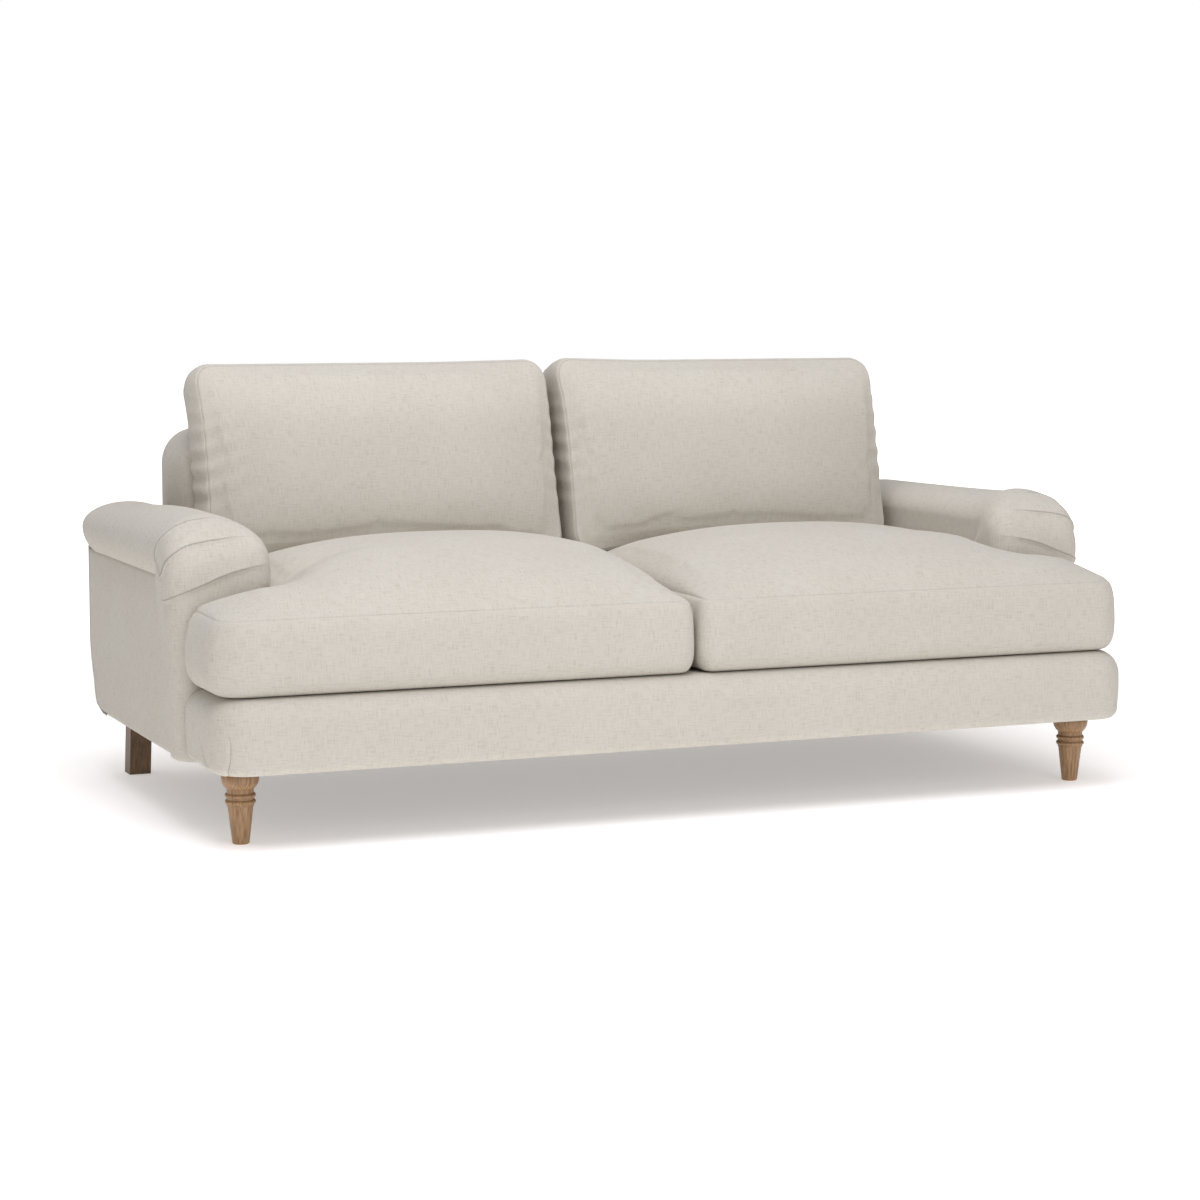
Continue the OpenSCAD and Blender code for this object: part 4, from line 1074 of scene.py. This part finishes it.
def shell(obj, thick=0.004):
    """Gives a one-sided skin its thickness, inwards, and closes its rim."""
    wall = obj.modifiers.new("thickness", "SOLIDIFY")
    wall.thickness, wall.offset = thick, -1
    return evaluated(obj)


# %% [markdown]
# ## Arms
# The front's cover is gathered where the flat face turns over the nose: one seam and two
# pleats start at the outer seam, under the roll's lip, and fade as they cross to the inner
# side. They are drawn in after the form is made, each as a groove with the cloth above it
# standing up a little, because there the cloth lies double.

# %% Arms
SEAM_LINE = curve([(1064, -236, 526), (1068, -212, 545), (1069, -200, 563),
                   (1065, -210, 587), (1052, -225, 606), (1032, -227, 620),
                   (1007, -222, 629), (983, -222, 632), (957, -217, 634), (925, -214, 630)])
PLEAT_HIGH = curve([(1064, -240, 526), (1067, -256, 537), (1064, -270, 555),
                    (1048, -283, 574), (1020, -282, 587), (983, -278, 593),
                    (956, -276, 596), (923, -272, 599), (896, -264, 592)])
PLEAT_LOW = curve([(1066, -246, 476), (1065, -274, 479), (1042, -304, 494),
                   (993, -308, 513), (965, -307, 524), (931, -306, 534),
                   (902, -305, 540), (872, -296, 544), (864, -270, 546)])

for side, word in ((-1, "left"), (1, "right")):
    grid = arm_surface(side)
    # the outer edge is marked for a dark line in the linen: painted shadow under the roll's lip
    # and painted shade in the outer seam
    arm = grid_piece(f"arm_cover_{word}", grid, True, edge_shade_marks(grid, [0], []), side)
    turned = np.array([side, 1, 1])
    sew_lines(arm, [(SEAM_LINE * turned, 1.6, 1.0, [(0, 1), (0.8, 1), (1, 0)]),
                    (PLEAT_HIGH * turned, 2.0, 2.0, [(0, 1), (0.75, 1), (1, 0)]),
                    (PLEAT_LOW * turned, 1.8, 2.0, [(0, 1), (0.7, 0.9), (0.95, 0)])], side)
    shell(arm)
    dress(arm, cover_linen, "frame", f"arm_front_{word}", f"arm_roll_{word}", fill=0.9)

# %% [markdown]
# ## Panels
# The inside and outside arms are cloth over a thin pad, pulled flat. A panel is a grid in
# its own plane that bulges by a few millimetres in the middle and turns in at its rim.

# %% Inside and outside arms
FOOT, LIP = 150.0, 518.0                 # heights of the hem and of the roll's lip
REAR_Y, REAR_SEAM_Y, CORNER_R = 565.0, 528.0, 35.0
INNER_X, INNER_THICK, THIN = 870.0, 0.02, 0.003     # the last two in metres


def drawn_in(z):
    """How far the rear is drawn in near the floor: 120 mm at the hem, nothing from 300 mm."""
    return np.interp(z, [150, 153, 157, 165, 173, 182, 198, 215, 240, 270, 300],
                     [120, 108, 84, 60, 51, 44, 38, 33, 20, 8, 0])


def bulge(u, v, high, rim=0.06):
    """high in the middle, falling to nothing within the share rim of each edge."""
    return high * smooth(np.minimum(u, 1 - u) / rim) * smooth(np.minimum(v, 1 - v) / rim)


def side_panel():
    """Outside arm: flat at 1049 mm, from the slanted seam to the rear seam and from the hem
    to the lip, with its rim turned in by 5 mm and its top carried in under the roll."""
    v, u = np.meshgrid(np.linspace(0, 1, 75), np.linspace(0, 1, 130), indexing="ij")
    tall, long = LIP - FOOT, 690
    z = FOOT + v * tall
    y0, y1 = seam_y(z) + 1, REAR_SEAM_Y - drawn_in(z)
    y = y0 + u * (y1 - y0)
    inside = 5 * (1 - smooth(np.minimum.reduce([u * long, v * tall, (1 - v) * tall]) / 9))
    face = np.stack([PANEL_X - inside + bulge(u, v, 3.0, 0.2), y, z], -1)
    turned = [face[-1] - [reach, 0, 0] for reach in (4, 15, 35, 60)]
    return np.concatenate([face, np.stack(turned)])


for side, word in ((-1, "left"), (1, "right")):
    grid = side_panel()
    # the front and rear seams and the top under the roll are marked for a dark line: painted
    # shade in the seams and painted shadow under the roll's lip
    panel = grid_piece(f"outside_arm_panel_{word}", grid, False,
                       edge_shade_marks(grid, [0, -1], [-5]), side)
    shell(panel, THIN)
    dress(panel, cover_linen, "frame", f"outside_arm_{word}")
    v, u = np.meshgrid(np.linspace(0, 1, 40), np.linspace(0, 1, 90), indexing="ij")
    inner = grid_piece(f"inside_arm_panel_{word}", np.stack(
        [INNER_X + 0 * u, -172 + u * 540, 272 + v * 222], -1), True, side=side)
    shell(inner, INNER_THICK)
    dress(inner, cover_linen, "frame", f"inside_arm_{word}", fill=0.95)

# %% [markdown]
# ## Front border
# The border is a padded band round the front and both corners. Its section is a rounded
# rectangle, a little fuller in the middle, carried along the outline of the body; at each
# corner the cover is taken in by small darts that run up from its lower edge: two on the
# left and a fainter one on the right.

# %% Front border
BORDER_OUT, BORDER_FRONT, BORDER_R, BORDER_END = 1040.0, -565.0, 77.0, -310.0
BORDER_LOW_EDGE, BORDER_HIGH_EDGE, BORDER_TALL = 20.0, 48.0, 153.0
BORDER_FOOT, BORDER_SCALE = 152.5, 150.5 / 153      # it stands just clear of the legs
FRONT_STEPS, SIDE_STEP, SPARE = 260, 5, 400


def border_section():
    """(inset, height) from the underside's inner edge, round and up, to the back of the
    top; the face swells by 3 mm."""
    a = np.radians(np.linspace(0, 90, 14))
    round_off = np.column_stack([1 - np.sin(a), 1 - np.cos(a)])
    low = BORDER_LOW_EDGE * round_off
    high = BORDER_HIGH_EDGE * round_off[::-1] * [1, -1] + [0, BORDER_TALL]
    face = np.column_stack([np.zeros(22), np.linspace(
        BORDER_LOW_EDGE, BORDER_TALL - BORDER_HIGH_EDGE, 24)[1:-1]])
    line = np.concatenate([[[64, 1.5], [52, 0]], low, face, high, [[52, BORDER_TALL],
                           [68, BORDER_TALL], [82, BORDER_TALL], [93, BORDER_TALL - 0.5],
                           [95, BORDER_TALL - 6]]])
    swell_by = 3 * np.sin(np.pi * np.clip(line[:, 1] / BORDER_TALL, 0, 1)) ** 2
    return line - np.column_stack([swell_by * (line[:, 0] < 30), 0 * swell_by])


far = BORDER_END + SPARE
border_corners = [[-BORDER_OUT, BORDER_FRONT], [BORDER_OUT, BORDER_FRONT],
                  [BORDER_OUT, far], [-BORDER_OUT, far]]
side_steps = round((far - BORDER_FRONT) / SIDE_STEP)
keep = round((BORDER_END - BORDER_FRONT) / (far - BORDER_FRONT) * side_steps)
rows = []
for inset, height in border_section():
    ring = outline(border_corners, [BORDER_R, BORDER_R, 1, 1], inset,
                   [FRONT_STEPS, side_steps] * 2)
    path = np.concatenate([ring[-keep:], ring[:FRONT_STEPS + keep + 1]])
    rows.append(np.column_stack([path, np.full(len(path),
                                               BORDER_FOOT + height * BORDER_SCALE)]))
border = grid_piece("front_border", np.stack(rows))
DARTS = [curve(line, 40) for line in (
    [(1008, -515, 152), (1011, -532, 165), (1014, -546, 182), (1013, -549, 213),
     (1015, -546, 249)],
    [(1034, -476, 153), (1040, -468, 162), (1042, -446, 180), (1043, -424, 218)])]
sew_lines(border, [(DARTS[0] * [-1, 1, 1], 1.8, 1.2, [(0, 1), (0.7, 0.9), (1, 0)]),
                   (DARTS[1] * [-1, 1, 1], 1.8, 1.2, [(0, 1), (0.8, 1), (1, 0)]),
                   (DARTS[0], 1.4, 0.8, [(0, 0.8), (0.5, 0.6), (0.8, 0)])], -1)
shell(border)
dress(border, cover_linen, "frame", "border_cover", "border_foam", fill=0.95)

# %% [markdown]
# ## The back
# The inside back is a raked slab with rounded top corners: the box form again, whose panels
# are the raked front and the upright rear. The outside back is one width of cloth below,
# from one side panel round both rear corners to the other, with a flat panel above it where
# the back stands free of the arms. It is drawn in at the foot, where its hem is tacked under
# the rail.

# %% Inside back
DECK, BACK_TOP, BACK_END, BACK_R = 303.0, 785.0, 869.9, 80.0
INSIDE_FOOT, SLAB_REAR, SLAB_CELL = 271.0, 559.0, 14


def raked(q):
    """Depth 0 is the rear and 1 the raked front: y falls evenly from the rear to the front's
    line, which leans back by 14 degrees."""
    front = INSIDE_FOOT + (q[:, 1] - DECK) * math.tan(LEAN)
    return np.column_stack([q[:, 0], SLAB_REAR + (front - SLAB_REAR) * q[:, 2], q[:, 1]])


back_outline = [[-BACK_END, DECK], [BACK_END, DECK], [BACK_END, BACK_TOP],
                [-BACK_END, BACK_TOP]]
slab_rings = [(12, 0, 0), (6, 0, 0), (2, 0.01, 0), (0, 0.03, 0), (0, 0.3, 0), (0, 0.55, 0),
              (0.8, 0.7, 0), (3, 0.82, 0), (7, 0.9, 0), (13, 0.955, 0), (20, 0.985, 0),
              (28, 1, 0)]
inside = make_piece("inside_back_pad", *box_form(
    back_outline, [6, 6, BACK_R, BACK_R], slab_rings, SLAB_CELL, level(0.0), level(1.0), raked))
dress(inside, cover_linen, "frame", "inside_back", fill=0.95)

# %% Outside back
WRAP_TOP, WRAP_ROWS, WRAP_COLUMNS = 521.0, 75, 330
PLAN_REAR = 600.0                        # the plan is drawn here and then moved to the rear
PANEL_THICK, PANEL_Y = 6.0, 559.5

z = FOOT + np.linspace(0, 1, WRAP_ROWS)[:, None] * (WRAP_TOP - FOOT) \
    + np.zeros((1, WRAP_COLUMNS))
plan = outline([[-PANEL_X, 0], [PANEL_X, 0], [PANEL_X, PLAN_REAR], [-PANEL_X, PLAN_REAR]],
               [1, 1, CORNER_R, CORNER_R], 0, [4, 560, 260, 560])
loop = np.roll(plan, -4, 0)
wrap = loop[np.argmax(loop[:, 1] >= 563):]
wrap = wrap[:np.argmax((wrap[:, 1] < 563) & (wrap[:, 0] < 0)) + 1]
wrap = by_length(wrap, WRAP_COLUMNS)
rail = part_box("back_rail")[1][1] * 1000 + 2
middle = smooth((1022 - np.abs(wrap[None, :, 0])) / 14) * (wrap[None, :, 1] > 590)
y = wrap[None, :, 1] - PLAN_REAR + REAR_Y - drawn_in(z)
y = np.where(middle > 0, y + middle * np.maximum(0, rail - y), y)
grid = np.stack([np.broadcast_to(wrap[None, :, 0], z.shape), y, z], -1)
rim, foot = grid[-1], grid[0]
turned = [np.column_stack([np.sign(rim[:, 0]) * (np.abs(rim[:, 0]) - reach),
                           rim[:, 1] - reach, rim[:, 2] - 0.5]) for reach in (1, 5, 20, 50, 95)]
hem = [foot - [0, reach, 0.6] for reach in (34, 14, 3)]
rear = grid_piece("outside_back_wrap", np.concatenate([np.stack(hem), grid, np.stack(turned)]))
shell(rear, THIN)
dress(rear, cover_linen, "frame", "outside_back")
panel_rings = [(8, 0, 0), (3, 0, 0), (1, 1, 0), (0.6, 3, 0), (1.6, 5, 0), (4, 5.6, 0),
               (9, PANEL_THICK, 0)]
upper = make_piece("outside_back_panel", *box_form(
    [[-868, WRAP_TOP], [868, WRAP_TOP], [868, 784], [-868, 784]], [3, 3, 79, 79],
    panel_rings, SLAB_CELL, level(0.0), level(PANEL_THICK),
    lambda q: np.column_stack([-q[:, 0], PANEL_Y + q[:, 2], q[:, 1]])))
dress(upper, cover_linen, "frame", "outside_back")
print("the wrap stays behind the back rail's rear, at", round(rail), "mm")

# %% [markdown]
# ## Finishes of the carried-over pieces
# The turned front legs are pale oiled oak, and the square rear legs are the same oak made
# darker, as painted shade. The frame inside is unfinished beech and birch plywood; springs,
# clips and bolts are steel.

# %% Timber
def timber(name, light, dark, grain=0.004, long=0.12, along="Z", rough=0.5, coat=0.0):
    """Planed timber: noise drawn out to long along the grain and to grain across it, between
    a dark and a light tone, with fine pores."""
    material, tree, shader = new_material(name)
    where = stretched(tree, object_place(tree),
                      [long if axis == along else grain for axis in "XYZ"])
    figure = noise(tree, where, detail=5.0, distortion=0.4)
    surface(tree, shader, {"Base Color": ramp(tree, figure, [(0.32, dark), (0.62, light)]),
                           "Roughness": rough, "Coat Weight": coat}, figure, 0.2, 0.0004)
    return material


# a soft gloss on the turned rings, with the grain running down the leg
oak = timber("oiled_oak", "#ae8962", "#82633f", rough=0.45, coat=0.15)
# the same oak, darker and a little duller: painted shade, so that the rear legs fall back into
# the shade
shade_painted_oak = timber("oak_with_painted_shade", "#75593b", "#553f29", rough=0.5, coat=0.1)
# raw and dull, seen only when the sofa is taken apart
beech = {axis: timber(f"planed_beech_{axis.lower()}", "#d9b98c", "#c19c6b", along=axis,
                      rough=0.65) for axis in "XYZ"}
birch = timber("birch_plywood", "#dcc197", "#c8a878", grain=0.006, along="X", rough=0.6)
print("timber:", oak.name, shade_painted_oak.name, birch.name, *[one.name for one in beech.values()])


# %% Steel, plain cloth and foam
def metal(name, tone, rough, scratch=0.0015):
    """Bare or plated steel with fine uneven gloss, lighter where the noise is high."""
    material, tree, shader = new_material(name)
    uneven = noise(tree, object_place(tree), 1 / scratch, 3.0)
    surface(tree, shader, {"Metallic": 1.0,
                           "Roughness": remap(tree, uneven, rough - 0.08, rough + 0.1),
                           "Base Color": ramp(tree, uneven, [(0.3, tone), (0.8, "#f0f0f0")])})
    return material


def woven(name, tone, shade, pitch=0.003, rough=0.85):
    """Plain cloth without its own flat coordinates: crossed waves in object coordinates."""
    material, tree, shader = new_material(name)
    both = crossed_waves(tree, object_place(tree), pitch, 0.5, 2.0)
    surface(tree, shader, {"Base Color": ramp(tree, both, [(0.0, shade), (1.0, tone)]),
                           "Roughness": rough}, both, 0.3, 0.0006)
    return material


def foam_rubber(name, cell=0.0025):
    """Cut polyurethane foam: cells drawn at 2.5 mm, paler at their rims."""
    material, tree, shader = new_material(name)
    cells = add(tree, "ShaderNodeTexVoronoi", {"Vector": object_place(tree),
                "Scale": 1 / cell}).outputs["Distance"]
    surface(tree, shader, {"Base Color": ramp(tree, cells, [(0.0, "#d8cda8"),
                                                            (0.7, "#e9e1c6")]),
                           "Roughness": 0.95})
    return material


# dull grey wire, and brighter zinc on everything bought in
spring_steel = metal("drawn_spring_steel", "#9a9ea2", 0.35)
zinc = metal("zinc_plated_steel", "#b7bcc0", 0.3)
# flat and dry, each plainly coarser or finer than the linen; all are drawn coarser than real
deck_cloth = woven("calico_deck_cloth", "#c8bfae", "#aba18f")
jute = woven("jute_webbing", "#8a7350", "#5f4c33", 0.004)
spunbond = woven("black_spunbond_dust_cloth", "#2b2b2e", "#1c1c1f", 0.003)
zip_tape = woven("woven_zip_tape", "#bdb5a5", "#a39a89", 0.002)
# pale yellow and quite matt
foam = foam_rubber("cut_polyurethane_foam")
print("and", ", ".join(one.name for one in (spring_steel, zinc, deck_cloth, jute, spunbond,
                                            zip_tape, foam)))

# %% [markdown]
# ## Deck and dust cover
# The deck under the seat cushions is wadding under a plain cotton, padded all over and
# rounded at its edge. The dust cover is a thin black cloth stapled under the rails. Both are
# the box form again, with flat panels: the CAD gives their outline and height.

# %% Deck and dust cover
(_, deck_y, deck_z), (_, deck_rear, deck_top) = np.array(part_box("seat_deck")) * 1000
x, y, wide = BORDER_OUT - 94, FRONT_Y, BACK_END - 1      # it ends where the border's top does
tall = deck_top - deck_z
deck = make_piece("padded_seat_deck", *box_form(
    [[-x, deck_y], [x, deck_y], [x, y], [wide, y], [wide, deck_rear], [-wide, deck_rear],
     [-wide, y], [-x, y]], [12, 12, 6, 4, 12, 12, 4, 6],
    [(9, 0, 0), (3, 0.4, 0), (0, 3, 0), (0, tall - 5, 0), (1.2, tall - 2, 0),
     (4, tall - 0.4, 0), (10, tall, 0)], 20, level(0.0), level(tall),
    lambda q: q + [0, 0, deck_z]))
dress(deck, deck_cloth, "frame", "seat_deck", slot="deck_cloth", fill=0.95)

(x0, y0, z0), (x1, y1, z1) = np.array(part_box("dust_cover")) * 1000
tall = z1 - z0
dust = make_piece("dust_cover_cloth", *box_form(
    [[x0, y0], [x1, y0], [x1, y1], [x0, y1]], [8] * 4,
    [(2, 0, 0), (0, tall * 0.3, 0), (0, tall * 0.7, 0), (2, tall, 0)], 30, level(0.0),
    level(tall), lambda q: q + [0, 0, z0]))
dress(dust, spunbond, "frame", "dust_cover", slot="dust_cloth")

# %% [markdown]
# ## Which finish each carried-over piece takes
# A CAD piece whose shape is right keeps it and only gets a finish: timber with its grain
# along each length, bright drawn steel for the springs, zinc for everything that is bought
# in, jute for the webbing and the ties, foam for the cores. Left and right pieces share one
# entry. A piece that a new one stands for is hidden already, so it is passed over.

# %% Finishes
finishes = {
    "front_leg": oak, "rear_leg": shade_painted_oak, "front_rail": beech["X"], "back_rail": beech["X"],
    "spring_rail": beech["X"], "side_rail": beech["Y"], "centre_stretcher": beech["Y"],
    "corner_blocks": beech["X"], "arm_front_post": beech["Z"], "arm_rear_post": beech["Z"],
    "arm_top_rail": beech["Y"], "back_upper_rail": beech["X"], "back_lower_rail": beech["X"],
    "back_profile": birch, "back_top_board": birch, "seat_springs": spring_steel,
    "arm_screws": zinc, "hanger_bolts": zinc, "spring_clips": zinc, "tee_nuts": zinc,
    "spring_ties": jute, "back_webbing": jute, "seat_core": foam, "back_core": foam,
    "seat_zip": zip_tape, "back_zip": zip_tape, "seat_slider": zinc, "back_slider": zinc}
for name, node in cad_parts.items():
    kind = name.removesuffix("_left").removesuffix("_right").removesuffix("_centre")
    if kind not in finishes or node.hide_render:
        continue
    if not node.data.materials:
        node.data.materials.append(finishes[kind])
    for place in node.material_slots:
        place.material = finishes[kind]
print("finished", sum(1 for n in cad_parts.values() if not n.hide_render), "CAD nodes")
